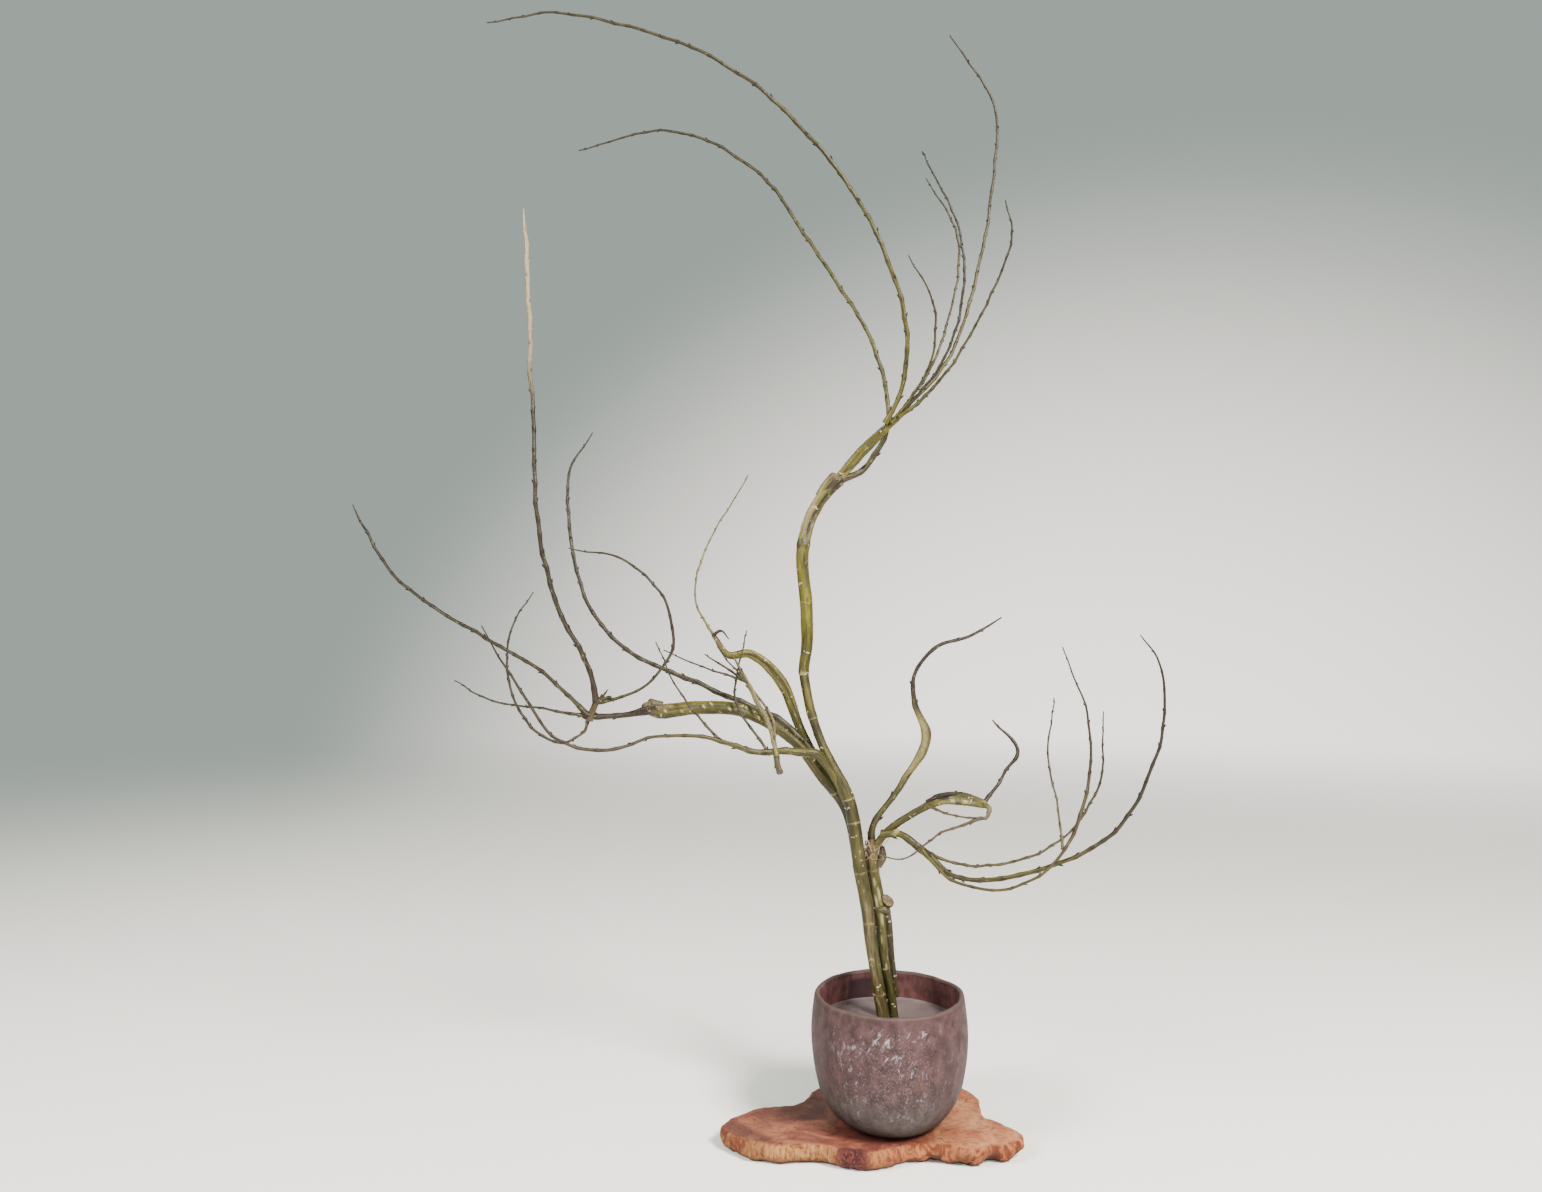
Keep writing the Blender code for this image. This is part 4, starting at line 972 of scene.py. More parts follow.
def scar(skin, away, tangent, radius, slender):
    """A low oval bump on the skin."""
    bm = bmesh.new()
    bmesh.ops.create_icosphere(bm, subdivisions=1, radius=radius)
    tone_layer, _ = new_layers(bm)
    side = Vector(away).cross(Vector(tangent)).normalized()
    for vert in bm.verts:
        offset = Vector(tangent) * vert.co.z * 0.8 + side * vert.co.x * slender
        vert.co = Vector(skin) + offset + Vector(away) * vert.co.y * 0.5
        vert[tone_layer] = SCAR_TONE
    return bm


STRIPS = 16
STRIP_FLAT = 0.55
HEAD_RADIUS = 0.0094              # of the torn head that the strips cross


def torn_fibres(draw):
    """Strips of bark and wood that cross round the torn head of the right cutting."""
    strips = []
    for count in range(STRIPS):
        angle = math.radians(draw.uniform(-30, 210))
        sweep = math.radians(draw.uniform(35, 90)) * draw.choice((-1, 1))
        rise = draw.uniform(0.010, 0.022) * draw.choice((-1, 1))
        height = RIGHT_HEAD[2] + draw.uniform(-0.006, 0.010) - 0.4 * rise
        spring = draw.uniform(0.003, 0.008) if count % 2 else draw.uniform(0.012, 0.018)
        width = draw.uniform(0.0009, 0.0018)
        route = []
        for share, out in ((0.0, 0.0), (0.5, 0.15), (1.0, 1.0)):
            turned = angle + sweep * share
            reach = HEAD_RADIUS + spring * out
            route.append((RIGHT_HEAD[0] - reach * math.cos(turned),
                          RIGHT_HEAD[1] - 0.95 * reach * math.sin(turned),
                          height + rise * share + 0.5 * spring * out,
                          width * (1.0 - 0.65 * share)))
        strips.append(Shoot("strip", STRIP_FLAT, route))
    return strips


def cutting(node, shoots, mat, seed):
    """One cutting: all its shoots, stubs, buds and scars, with the bark over them."""
    draw = random.Random(seed)
    parts = []
    for shoot in [*shoots, *STUBS[node]]:
        kind = KINDS[KIND_OF[node].get(shoot.name, "olive")]
        folds = FOLDS.get(shoot.name, PLAIN_FOLDS)
        patches = PATCHES[node].get(shoot.name, ())
        rings = RINGS[node] if shoot is shoots[0] else ()
        parts += wood(shoot, (kind, folds, patches), rings, draw)
    if node == "right_branch":
        for strip in torn_fibres(draw):
            parts += wood(strip, (KINDS["torn"], PLAIN_FOLDS, ()), (), draw)
    obj = gathered(node + "_wood", parts)
    obj.data.materials.append(mat)
    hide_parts(node)
    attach(obj, "root")


# ------------------------------------------------------------ vase and water

VASE_WALL = 0.007
VASE_FLOOR = 0.009
VASE_COLUMNS = 168
PROFILE_STEP = 0.003              # between the points of its profile
FOOT_RADIUS = 0.050
FOOT_RING = 0.009                 # width of the ring that it stands on
FOOT_RECESS = 0.003
FOOT_BEVEL = 0.0008
FLOOR_ROUND = 0.008               # how far the inside's corner at the floor is rounded
VASE_OUTSIDE = [                  # (radius, height) from the lip down to the foot
    (0.097, 0.160), (0.100, 0.135), (0.101, 0.110), (0.097, 0.070),
    (0.088, 0.036), (0.070, 0.011), (FOOT_RADIUS, 0.0),
]
LIP_HEIGHT = VASE_OUTSIDE[0][1]


def vase_curves(spacing):
    """The vase's outside and inside as (radius, height), both from the top down."""
    outside = curve_through(VASE_OUTSIDE, spacing)
    along = unit(np.gradient(outside, axis=0))
    outward = np.column_stack([-along[:, 1], along[:, 0]])
    inside = outside - outward * VASE_WALL
    return outside, inside[inside[:, 1] > VASE_FLOOR + FOOT_RECESS]


def turned_skin(profile, columns, base, shape=None):
    """A ring of points for each (radius, height) of the profile, seam at the back."""
    around = math.pi / 2 + np.linspace(0, math.tau, columns, endpoint=False)
    skin = np.zeros((len(profile), columns, 3))
    for row, (radius, height) in enumerate(profile):
        radii, heights = (radius, height) if shape is None else shape(radius, height, around)
        skin[row, :, 0] = radii * np.cos(around)
        skin[row, :, 1] = radii * np.sin(around)
        skin[row, :, 2] = base + heights
    return skin


# Waves round the pot: depth, how many, turn in radians for each metre up, and start.
WALL_WAVES = ((0.0009, 2, 0.0, 0.7), (0.0005, 3, 9.0, 0.0), (0.0004, 7, 30.0, 1.1))
LIP_WAVES = ((0.0007, 3, 0.0, 2.0), (0.0004, 8, 0.0, 0.5), (0.0002, 19, 0.0, 0.0))
GROOVE_DEPTH, GROOVE_GAP = 0.00016, 0.0065    # left by the potter's fingers


def waves(table, around, height):
    return sum(depth * np.sin(count * around + turn * height + start)
               for depth, count, turn, start in table)


def thrown(radius, height, around):
    """Slow and fine unevenness of a pot thrown by hand."""
    if radius < 0.001:
        return radius, height
    wide = waves(WALL_WAVES, around, height)
    wide += GROOVE_DEPTH * np.sin(math.tau * height / GROOVE_GAP + 2 * np.sin(around))
    lift = float(smoothstep(0.10, LIP_HEIGHT, height))
    rise = waves(LIP_WAVES, around, height)
    stand = float(smoothstep(0.0, 0.02, height))
    return radius + wide * stand, height + rise * lift


def vase(mat):
    outside, inside = vase_curves(PROFILE_STEP)
    lip_centre = (outside[0] + inside[0]) / 2
    lip = [lip_centre + VASE_WALL / 2 * np.array([math.cos(turn), math.sin(turn)])
           for turn in np.linspace(0, math.pi, 11)[1:-1]]
    inner_foot = FOOT_RADIUS - FOOT_RING
    profile = [(0.0, FOOT_RECESS), (0.03, FOOT_RECESS),
               (inner_foot - FOOT_BEVEL, FOOT_RECESS),
               (inner_foot, FOOT_RECESS - FOOT_BEVEL), (inner_foot, FOOT_BEVEL),
               (inner_foot + FOOT_BEVEL, 0.0), (FOOT_RADIUS - 0.001, 0.0)]
    outer_rows = len(profile) + len(outside)
    profile += [*outside[::-1], *lip, *inside]
    corner = inside[-1][0]
    for turn in np.linspace(0, math.pi / 2, 5):
        profile.append((corner - FLOOR_ROUND * math.sin(turn) * 0.9,
                        VASE_FLOOR + (inside[-1][1] - VASE_FLOOR) * (1 - math.sin(turn))))
    profile += [(0.045, VASE_FLOOR), (0.02, VASE_FLOOR), (0.0, VASE_FLOOR)]
    skin = turned_skin(profile, VASE_COLUMNS, VASE_LOW.z, thrown)
    tone = np.zeros((len(profile), VASE_COLUMNS, 4))
    tone[outer_rows + len(lip) // 2:, :, 0] = 1.0
    heights = np.array([height for _, height in profile])
    tone[:, :, 1] = smoothstep(LIP_HEIGHT - 0.001, LIP_HEIGHT + 0.003, heights)[:, None]
    along = distances(np.array(profile))
    obj = gathered("thrown_vase", [rolled(skin, tone, along)])
    obj.data.materials.append(mat)
    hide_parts("vase")
    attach(obj, "root")


MENISCUS = 0.0014                 # how far the water climbs at its edges
MENISCUS_WIDTH = 0.0022
STEM_HOLE_GAP = 0.0007
HOLE_SIDES = 24
WATER_COLUMNS = 96


def water_section(shoot):
    """The part of a stem that stands in the water, from its foot to just above."""
    stations = curve_through(shoot.route, 0.006)
    return stations[stations[:, 2] < WATER_LEVEL + 0.03]


def water(stems, mat):
    """The vase's filling, with a hole for each stem and a pocket for the pin holder."""
    _, inside = vase_curves(PROFILE_STEP)
    level = WATER_LEVEL - VASE_LOW.z
    edge = np.interp(level, inside[::-1, 1], inside[::-1, 0]) - 2 * CLEARANCE
    floor = VASE_FLOOR + CLEARANCE
    walls = [(radius - 4 * CLEARANCE, height) for radius, height in inside[::-1]
             if height < level - 0.004]
    profile = [(0.0, floor), (walls[0][0] - FLOOR_ROUND, floor), *walls]
    for gone in (0.0, 0.0006, 0.0014, 0.0025, 0.004, 0.007):
        profile.append((edge - gone, level + MENISCUS * math.exp(-gone / MENISCUS_WIDTH)))
    profile += [(radius, level) for radius in np.linspace(edge - 0.012, 0.0, 26)]
    skin = turned_skin(profile, WATER_COLUMNS, VASE_LOW.z)
    tone = np.zeros((len(profile), WATER_COLUMNS, 4))
    obj = gathered("still_water", [rolled(skin, tone, distances(np.array(profile)))])
    cutters = [holes_cutter(stem) for stem in stems]
    low, high = VASE_LOW.z, KENZAN_HIGH.z + CLEARANCE
    radius = (KENZAN_HIGH.x - KENZAN_LOW.x) / 2 + 2 * CLEARANCE
    middle = (KENZAN_LOW + KENZAN_HIGH) / 2
    pocket = cylinder(64, radius, radius, high - low, (middle.x, middle.y, (high + low) / 2))
    cutters.append(gathered("pocket", [pocket]))
    cut_away(obj, cutters)
    climb(obj, stems)
    obj.data.materials.clear()
    obj.data.materials.append(mat)
    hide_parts("water")
    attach(obj, "root")


def holes_cutter(stem):
    """A stem's shape in the water with a gap round it, to cut its hole."""
    stations = water_section(stem)
    points = stations[:, :3]
    _, sideways, forward = axes_along(points)
    around = np.linspace(0, math.tau, HOLE_SIDES, endpoint=False)
    half = (stations[:, 3] / 2 + STEM_HOLE_GAP)[:, None, None]
    across = np.cos(around)[None, :, None] * half * sideways[:, None]
    through = np.sin(around)[None, :, None] * half * stem.flat * forward[:, None]
    skin = points[:, None] + across + through
    skin = np.concatenate([skin[:1] * 0 + points[0], skin, skin[:1] * 0 + points[-1]])
    rows = np.arange(len(skin)) * 0.01
    return gathered("hole", [rolled(skin, np.zeros((*skin.shape[:2], 4)), rows)])


def cut_away(obj, cutters):
    """Cut all the cutters out of the object at once, then remove them."""
    tools = bpy.data.collections.new("cutters")
    for cutter in cutters:
        tools.objects.link(cutter)
        bpy.context.scene.collection.objects.unlink(cutter)
    boolean = obj.modifiers.new("Cut", "BOOLEAN")
    boolean.operation = "DIFFERENCE"
    boolean.solver = "EXACT"
    boolean.operand_type = "COLLECTION"
    boolean.collection = tools
    graph = bpy.context.evaluated_depsgraph_get()
    mesh = bpy.data.meshes.new_from_object(obj.evaluated_get(graph))
    obj.modifiers.clear()
    obj.data = mesh
    for cutter in cutters:
        bpy.data.objects.remove(cutter)
    bpy.data.collections.remove(tools)


def climb(obj, stems):
    """Raise the water's surface a little where it meets a stem."""
    lines = []
    for stem in stems:
        stations = water_section(stem)
        x, y, width = (np.interp(WATER_LEVEL, stations[:, 2], stations[:, column])
                       for column in (0, 1, 3))
        lines.append((x, y, width / 2 + STEM_HOLE_GAP))
    for vert in obj.data.vertices:
        if vert.co.z < WATER_LEVEL - 0.0005:
            continue
        for x, y, radius in lines:
            gone = max(0.0, math.hypot(vert.co.x - x, vert.co.y - y) - radius)
            vert.co.z += MENISCUS * math.exp(-gone / MENISCUS_WIDTH)


# ------------------------------------------------------------------ pin holder

PIN_RADIUS = 0.0009
PIN_PITCH = 0.0085
PIN_TIP = 0.25                    # tip radius as a share of the pin's
PIN_ROOT = 0.002                  # how deep it is set in the disc
PIN_EDGE = 0.004                  # bare rim of the disc
PIN_MARGIN = 0.0015               # room between a pin and a stem
DISC_BEVEL = 0.0012


def is_clear_of_stems(x, y, stems):
    """Whether a pin at x, y stays clear of every stem that stands on the disc."""
    pin_height = KENZAN_HIGH.z - KENZAN_LOW.z - DISC_THICKNESS
    for stem in stems:
        foot, bend = stem.route[0], stem.route[1]
        rise = pin_height / (bend[2] - foot[2])
        for share in (0.0, rise):
            axis_x = foot[0] + share * (bend[0] - foot[0])
            axis_y = foot[1] + share * (bend[1] - foot[1])
            if math.hypot(x - axis_x, y - axis_y) < foot[3] / 2 + PIN_RADIUS + PIN_MARGIN:
                return False
    return True


def pin_holder(stems, mat):
    middle = (KENZAN_LOW + KENZAN_HIGH) / 2
    radius = (KENZAN_HIGH.x - KENZAN_LOW.x) / 2
    top = KENZAN_LOW.z + DISC_THICKNESS
    disc = cylinder(96, radius, radius, DISC_THICKNESS)
    rims = [edge for edge in disc.edges if any(len(face.verts) > 4 for face in edge.link_faces)]
    bmesh.ops.bevel(disc, geom=rims, offset=DISC_BEVEL, segments=3, profile=0.5, material=-1,
                    affect="EDGES")
    bmesh.ops.translate(disc, verts=disc.verts,
                        vec=(middle.x, middle.y, top - DISC_THICKNESS / 2))
    parts = [disc]
    height = KENZAN_HIGH.z - top + PIN_ROOT
    reach = int(radius / PIN_PITCH) + 1
    for row in range(-reach, reach + 1):
        for column in range(-reach, reach + 1):
            x = middle.x + PIN_PITCH * (column + 0.5 * (row % 2))
            y = middle.y + PIN_PITCH * row * math.sqrt(0.75)
            from_middle = math.hypot(x - middle.x, y - middle.y)
            if from_middle > radius - PIN_EDGE or not is_clear_of_stems(x, y, stems):
                continue
            parts.append(cylinder(10, PIN_RADIUS, PIN_TIP * PIN_RADIUS, height,
                                  (x, y, top - PIN_ROOT + height / 2)))
    obj = gathered("pin_holder", parts)
    obj.data.materials.append(mat)
    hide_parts("kenzan")
    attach(obj, "root")


# ----------------------------------------------------------------------- board

BOARD_OUTLINE = [                 # counter-clockwise from the left tip
    (-0.22, -0.015), (-0.20, -0.05), (-0.15, -0.07), (-0.09, -0.07), (-0.06, -0.085),
    (-0.02, -0.085), (0.02, -0.07), (0.06, -0.07), (0.09, -0.08), (0.12, -0.07),
    (0.15, -0.065), (0.165, -0.04), (0.15, -0.01), (0.125, 0.02), (0.13, 0.06),
    (0.11, 0.105), (0.06, 0.12), (-0.04, 0.12), (-0.09, 0.10), (-0.12, 0.05),
    (-0.17, 0.04), (-0.20, 0.015),
]
BOARD_COLUMNS = 480
BOARD_CENTRE = np.array([0.0, 0.01])
BOARD_EDGE = [                    # height as a share of the thickness, how far in it lies
    (0.0, 0.011), (0.10, 0.0075), (0.22, 0.004), (0.36, 0.0015), (0.50, 0.0), (0.64, 0.0),
    (0.78, 0.0004), (0.88, 0.0012), (0.95, 0.0024), (0.99, 0.0042),
]
TOP_SHARES = (0.975, 0.955, 0.93, 0.90, 0.86, 0.81, 0.74, 0.65, 0.54, 0.40, 0.22, 0.0)
EYE = np.array([-0.055, -0.084])  # middle of the burl's eye on the front edge
EYE_REACH = 0.033
BOARD_BUMPS = 0.0026
BOARD_RIBS = 0.0006
EDGE_INSET = 0.0012               # the whole edge, to leave room for its bumps
EYE_RISE, EYE_PITS = 0.0012, 0.0016
HOLLOW_DEPTH = 0.006
TOP_DIPS = 0.0009
HOLLOWS = [                       # where the right front is eaten away below, and how far
    (0.048, -0.070, 0.008), (0.082, -0.077, 0.012), (0.120, -0.073, 0.010),
    (0.155, -0.055, 0.012),
]


def board(mat):
    outline = curve_through(BOARD_OUTLINE, 0.0005, closed=True)
    pick = np.linspace(0, len(outline), BOARD_COLUMNS, endpoint=False).astype(int)
    ring = outline[pick]
    # The ring starts at its backmost point, which puts the skin's seam there.
    ring = np.roll(ring, -int(np.argmax(ring[:, 1])), axis=0)
    along = unit(np.roll(ring, -1, axis=0) - np.roll(ring, 1, axis=0))
    outward = np.column_stack([along[:, 1], -along[:, 0]])
    from_eye = np.linalg.norm(ring - EYE, axis=1)
    eye = np.exp(-(from_eye / EYE_REACH) ** 2)
    hollow = np.max([np.exp(-(np.linalg.norm(ring - (x, y), axis=1) / reach) ** 4)
                     for x, y, reach in HOLLOWS], axis=0)
    ribbed = smoothstep(0.02, -0.08, ring[:, 0]) * smoothstep(0.02, -0.03, ring[:, 1])
    rows, tones = [], []
    for share, inset in BOARD_EDGE:
        height = share * BOARD_THICKNESS
        level = np.column_stack([ring, np.full(BOARD_COLUMNS, height)])
        bumps = BOARD_BUMPS * noise_at(level * (1, 1, 0.6), 0.019)
        bumps += 0.65 * BOARD_BUMPS * noise_at(level * (1, 1, 0.8), 0.0085, 3.0)
        ribs = BOARD_RIBS * noise_at(level * (1, 1, 0.2), 0.0032, 7.0) * (0.3 + ribbed)
        ribs *= 1.0 + 1.5 * noise_at(level, 0.02, 4.0)
        ragged = 1.0 + 0.8 * noise_at(level, 0.010, 6.0)
        cut = inset + hollow * ragged * HOLLOW_DEPTH * float(smoothstep(0.75, 0.15, share))
        pits = EYE_PITS * eye * noise_at(level, 0.005, 5.0)
        moved = ring - outward * (cut - bumps - ribs - EYE_RISE * eye + pits)[:, None]
        moved -= outward * EDGE_INSET
        rows.append(np.column_stack([moved, np.full(BOARD_COLUMNS, height)]))
        # Tones: how much is edge, the eye, painted shade in the hollows, and the ribbed part.
        tones.append(np.column_stack([np.full(BOARD_COLUMNS, 1.0 if share < 0.97 else 0.5),
                                      eye, hollow * float(smoothstep(0.95, 0.3, share)),
                                      ribbed]))
    rim = rows[-1][:, :2]
    for share in TOP_SHARES:
        flat = BOARD_CENTRE + (rim - BOARD_CENTRE) * share
        height = np.full(BOARD_COLUMNS, BOARD_THICKNESS)
        from_vase = np.linalg.norm(flat, axis=1)
        loose = smoothstep(FOOT_RADIUS, 0.09, from_vase)
        height -= TOP_DIPS * loose * (0.5 + 0.5 * noise_at(
            np.column_stack([flat, height]), 0.03, 9.0))
        rows.append(np.column_stack([flat, height]))
        near = share ** 8
        tones.append(np.column_stack([np.zeros(BOARD_COLUMNS), eye * near,
                                      np.zeros(BOARD_COLUMNS), ribbed * near]))
    under = [np.column_stack([BOARD_CENTRE + (rows[0][:, :2] - BOARD_CENTRE) * share,
                              np.zeros(BOARD_COLUMNS)]) for share in (0.0, 0.6, 0.95)]
    skin = np.array([*under, *rows])
    tone = np.array([*(tones[0] for _ in under), *tones])
    places = np.arange(len(skin)) * 0.01
    obj = gathered("burl_slab", [rolled(skin, tone, places)])
    obj.data.materials.append(mat)
    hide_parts("burl_board")
    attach(obj, "root")


# ------------------------------------------------------------------- materials

PAINT_DEPTH = 0.38                # paints are mixed deeper, for the studio is bright


def paint(red, green, blue):
    """A colour as the eye names it, 0 to 255, turned into light."""
    light = [value / 255 for value in (red, green, blue)]
    return (*(PAINT_DEPTH * (value / 12.92 if value < 0.04045
                             else ((value + 0.055) / 1.055) ** 2.4)
              for value in light), 1.0)


class Finish:
    """A material or a group while it is put together."""

    def __init__(self, tree):
        self.tree = tree

    def add(self, kind, inputs=None, **settings):
        """A node with its settings made and its inputs set or joined."""
        made = self.tree.nodes.new(kind)
        for setting, value in settings.items():
            setattr(made, setting, value)
        self.feed(made, inputs or {})
        return made

    def feed(self, node, inputs):
        """A value or another node's output for each of the named inputs."""
        for name, value in inputs.items():
            self.give(node.inputs[name], value)

    def give(self, socket, value):
        if isinstance(value, bpy.types.NodeSocket):
            self.tree.links.new(value, socket)
        else:
            socket.default_value = value

    def math(self, operation, *values):
        made = self.add("ShaderNodeMath", operation=operation)
        for socket, value in zip(made.inputs, values):
            self.give(socket, value)
        return made.outputs[0]

    def times(self, *values):
        return functools.reduce(functools.partial(self.math, "MULTIPLY"), values)

    def plus(self, *values):
        return functools.reduce(functools.partial(self.math, "ADD"), values)

    def between(self, value, low, high):
        """0 on low's side and 1 on high's, smooth between; low may be the higher."""
        made = self.add("ShaderNodeMapRange", {"Value": value}, interpolation_type="SMOOTHSTEP")
        made.inputs["From Min"].default_value = min(low, high)
        made.inputs["From Max"].default_value = max(low, high)
        made.inputs["To Min"].default_value = 0.0 if low < high else 1.0
        made.inputs["To Max"].default_value = 1.0 if low < high else 0.0
        return made.outputs[0]

    def mix(self, share, first, second, blend="MIX"):
        made = self.add("ShaderNodeMix", data_type="RGBA", blend_type=blend)
        self.give(made.inputs[0], share)
        self.give(made.inputs[6], first)
        self.give(made.inputs[7], second)
        return made.outputs[2]

    def tinted(self, colour, share, strength, tint):
        """The colour with a tint over it, as strong as the share times the strength."""
        return self.mix(self.math("MULTIPLY", share, strength), colour, tint)

    def graded(self, value, low, high, first, second):
        """The first colour on low's side, the second on high's, smooth between."""
        return self.mix(self.between(value, low, high), first, second)

    def noise(self, vector, scale, detail=4.0, roughness=0.55, distortion=0.0):
        made = self.add("ShaderNodeTexNoise", {
            "Vector": vector, "Scale": scale, "Detail": detail, "Roughness": roughness,
            "Distortion": distortion})
        return made.outputs["Fac"]

    def mapped(self, vector, scale=(1, 1, 1), turn=(0, 0, 0), move=(0, 0, 0)):
        made = self.add("ShaderNodeMapping", {
            "Vector": vector, "Location": move, "Rotation": turn, "Scale": scale})
        return made.outputs[0]

    def tone(self):
        """The piece's own tone attribute, as its four channels."""
        made = self.add("ShaderNodeAttribute", attribute_name="tone")
        split = self.add("ShaderNodeSeparateColor", {"Color": made.outputs["Color"]})
        return (*split.outputs, made.outputs["Alpha"])

    def place(self):
        return self.add("ShaderNodeTexCoord").outputs["Object"]

    def bump(self, height, strength, distance):
        made = self.add("ShaderNodeBump", {"Height": height, "Strength": strength,
                                           "Distance": distance})
        return made.outputs[0]


def new_material(name):
    """A material's shader and the tools to build on it."""
    mat = bpy.data.materials.new(name)
    mat.use_nodes = True
    finish = Finish(mat.node_tree)
    return mat, finish, mat.node_tree.nodes["Principled BSDF"]


def new_group(name, inputs, outputs):
    """A shader node group with named sockets: (name, kind, default)."""
    tree = bpy.data.node_groups.new(name, "ShaderNodeTree")
    for label, kind, value in inputs:
        socket = tree.interface.new_socket(label, in_out="INPUT", socket_type=kind)
        if value is not None:
            socket.default_value = value
    for label, kind in outputs:
        tree.interface.new_socket(label, in_out="OUTPUT", socket_type=kind)
    finish = Finish(tree)
    entry = tree.nodes.new("NodeGroupInput")
    leave = tree.nodes.new("NodeGroupOutput")
    return tree, finish, entry, leave


def wear_group():
    """Blotches and fine grit, shared by the wood, the clay and the metal."""
    tree, finish, entry, leave = new_group(
        "Blotch and grit",
        [("Vector", "NodeSocketVector", None), ("Blotch Size", "NodeSocketFloat", 0.02),
         ("Grit Size", "NodeSocketFloat", 0.001)],
        [("Blotch", "NodeSocketFloat"), ("Grit", "NodeSocketFloat")])
    large = finish.math("DIVIDE", 1.0, entry.outputs["Blotch Size"])
    small = finish.math("DIVIDE", 1.0, entry.outputs["Grit Size"])
    blotch = finish.noise(entry.outputs["Vector"], large, 5.0, 0.6)
    grit = finish.noise(entry.outputs["Vector"], small, 3.0, 0.6)
    finish.give(leave.inputs["Blotch"], finish.between(blotch, 0.35, 0.65))
    finish.give(leave.inputs["Grit"], grit)
    return tree


def worn(finish, group, vector, blotch_size, grit_size):
    made = finish.add("ShaderNodeGroup",
                      {"Vector": vector, "Blotch Size": blotch_size, "Grit Size": grit_size},
                      node_tree=group)
    return made.outputs["Blotch"], made.outputs["Grit"]


def bark_material(wear):
    mat, finish, shader = new_material("willow_bark")
    yellow, dark, pale, bare = finish.tone()
    place = finish.place()

    # Along the wood: the wrap map's angle on a circle, and its length.
    wrap = finish.add("ShaderNodeUVMap", uv_map="wrap").outputs[0]
    split = finish.add("ShaderNodeSeparateXYZ", {"Vector": wrap})
    angle = finish.times(split.outputs[0], math.tau)
    circle = finish.add("ShaderNodeCombineXYZ",
                        {0: finish.times(finish.math("COSINE", angle), 0.005),
                         1: finish.times(finish.math("SINE", angle), 0.005),
                         2: finish.times(split.outputs[1], 0.09)})
    streak = finish.noise(circle.outputs[0], 620.0, 4.0, 0.6)
    wide_streak = finish.noise(circle.outputs[0], 190.0, 3.0, 0.5)
    blotch, grit = worn(finish, wear, place, 0.018, 0.0011)

    olive = finish.graded(wide_streak, 0.36, 0.64, paint(70, 68, 32), paint(112, 106, 58))
    green = finish.graded(wide_streak, 0.36, 0.64, paint(90, 88, 12), paint(148, 140, 36))
    colour = finish.mix(yellow, olive, green)
    # The dark tone: brown bark, and painted shade where folds and patches put it.
    brown = finish.graded(streak, 0.35, 0.65, paint(31, 26, 21), paint(68, 59, 44))
    colour = finish.mix(dark, colour, brown)
    shade = finish.graded(streak, 0.3, 0.7, (0.42, 0.42, 0.38, 1), (1.3, 1.3, 1.2, 1))
    colour = finish.mix(0.55, colour, shade, "MULTIPLY")
    colour = finish.tinted(colour, blotch, 0.25, paint(84, 70, 46))
    split_map = finish.mapped(circle.outputs[0], (1.0, 1.0, 0.7), move=(3.0, 1.0, 2.0))
    cracks = finish.between(finish.noise(split_map, 430.0, 3.0, 0.6), 0.60, 0.68)
    colour = finish.tinted(colour, cracks, 0.65, paint(52, 44, 28))

    # Small pale breathing pores, longer along the wood than across it.
    pore_map = finish.mapped(circle.outputs[0], (1.0, 1.0, 2.4))
    pores = finish.add("ShaderNodeTexVoronoi", {"Vector": pore_map, "Scale": 300.0})
    pore = finish.between(pores.outputs["Distance"], 0.26, 0.14)
    sparse = finish.between(finish.noise(place, 170.0, 1.0), 0.52, 0.60)
    pore = finish.times(pore, sparse, 0.6)
    colour = finish.mix(pore, colour, paint(196, 186, 132))

    # The pale tone: cream scars and ring lines, and painted highlights.
    cream = finish.mix(grit, paint(196, 184, 126), paint(238, 230, 184))
    pale_share = finish.times(pale, finish.between(finish.noise(place, 420.0), 0.25, 0.5))
    colour = finish.mix(pale_share, colour, cream)
    # The bare tone: raw wood, and a painted lit strip on the main stem.
    raw = finish.graded(streak, 0.3, 0.7, paint(158, 116, 80), paint(246, 214, 172))
    colour = finish.mix(bare, colour, raw)
    finish.give(shader.inputs["Base Color"], colour)
    shader.inputs["Specular IOR Level"].default_value = 0.22

    rough = finish.math("MULTIPLY_ADD", streak, 0.25, 0.28)
    finish.give(shader.inputs["Roughness"],
                finish.math("SUBTRACT", rough, finish.times(bare, 0.10)))
    height = finish.plus(streak, finish.times(grit, 0.35))
    height = finish.plus(height, finish.times(pore, 0.8))
    height = finish.math("SUBTRACT", height, finish.times(cracks, 0.7))
    finish.give(shader.inputs["Normal"], finish.bump(height, 0.7, 0.0007))
    return mat


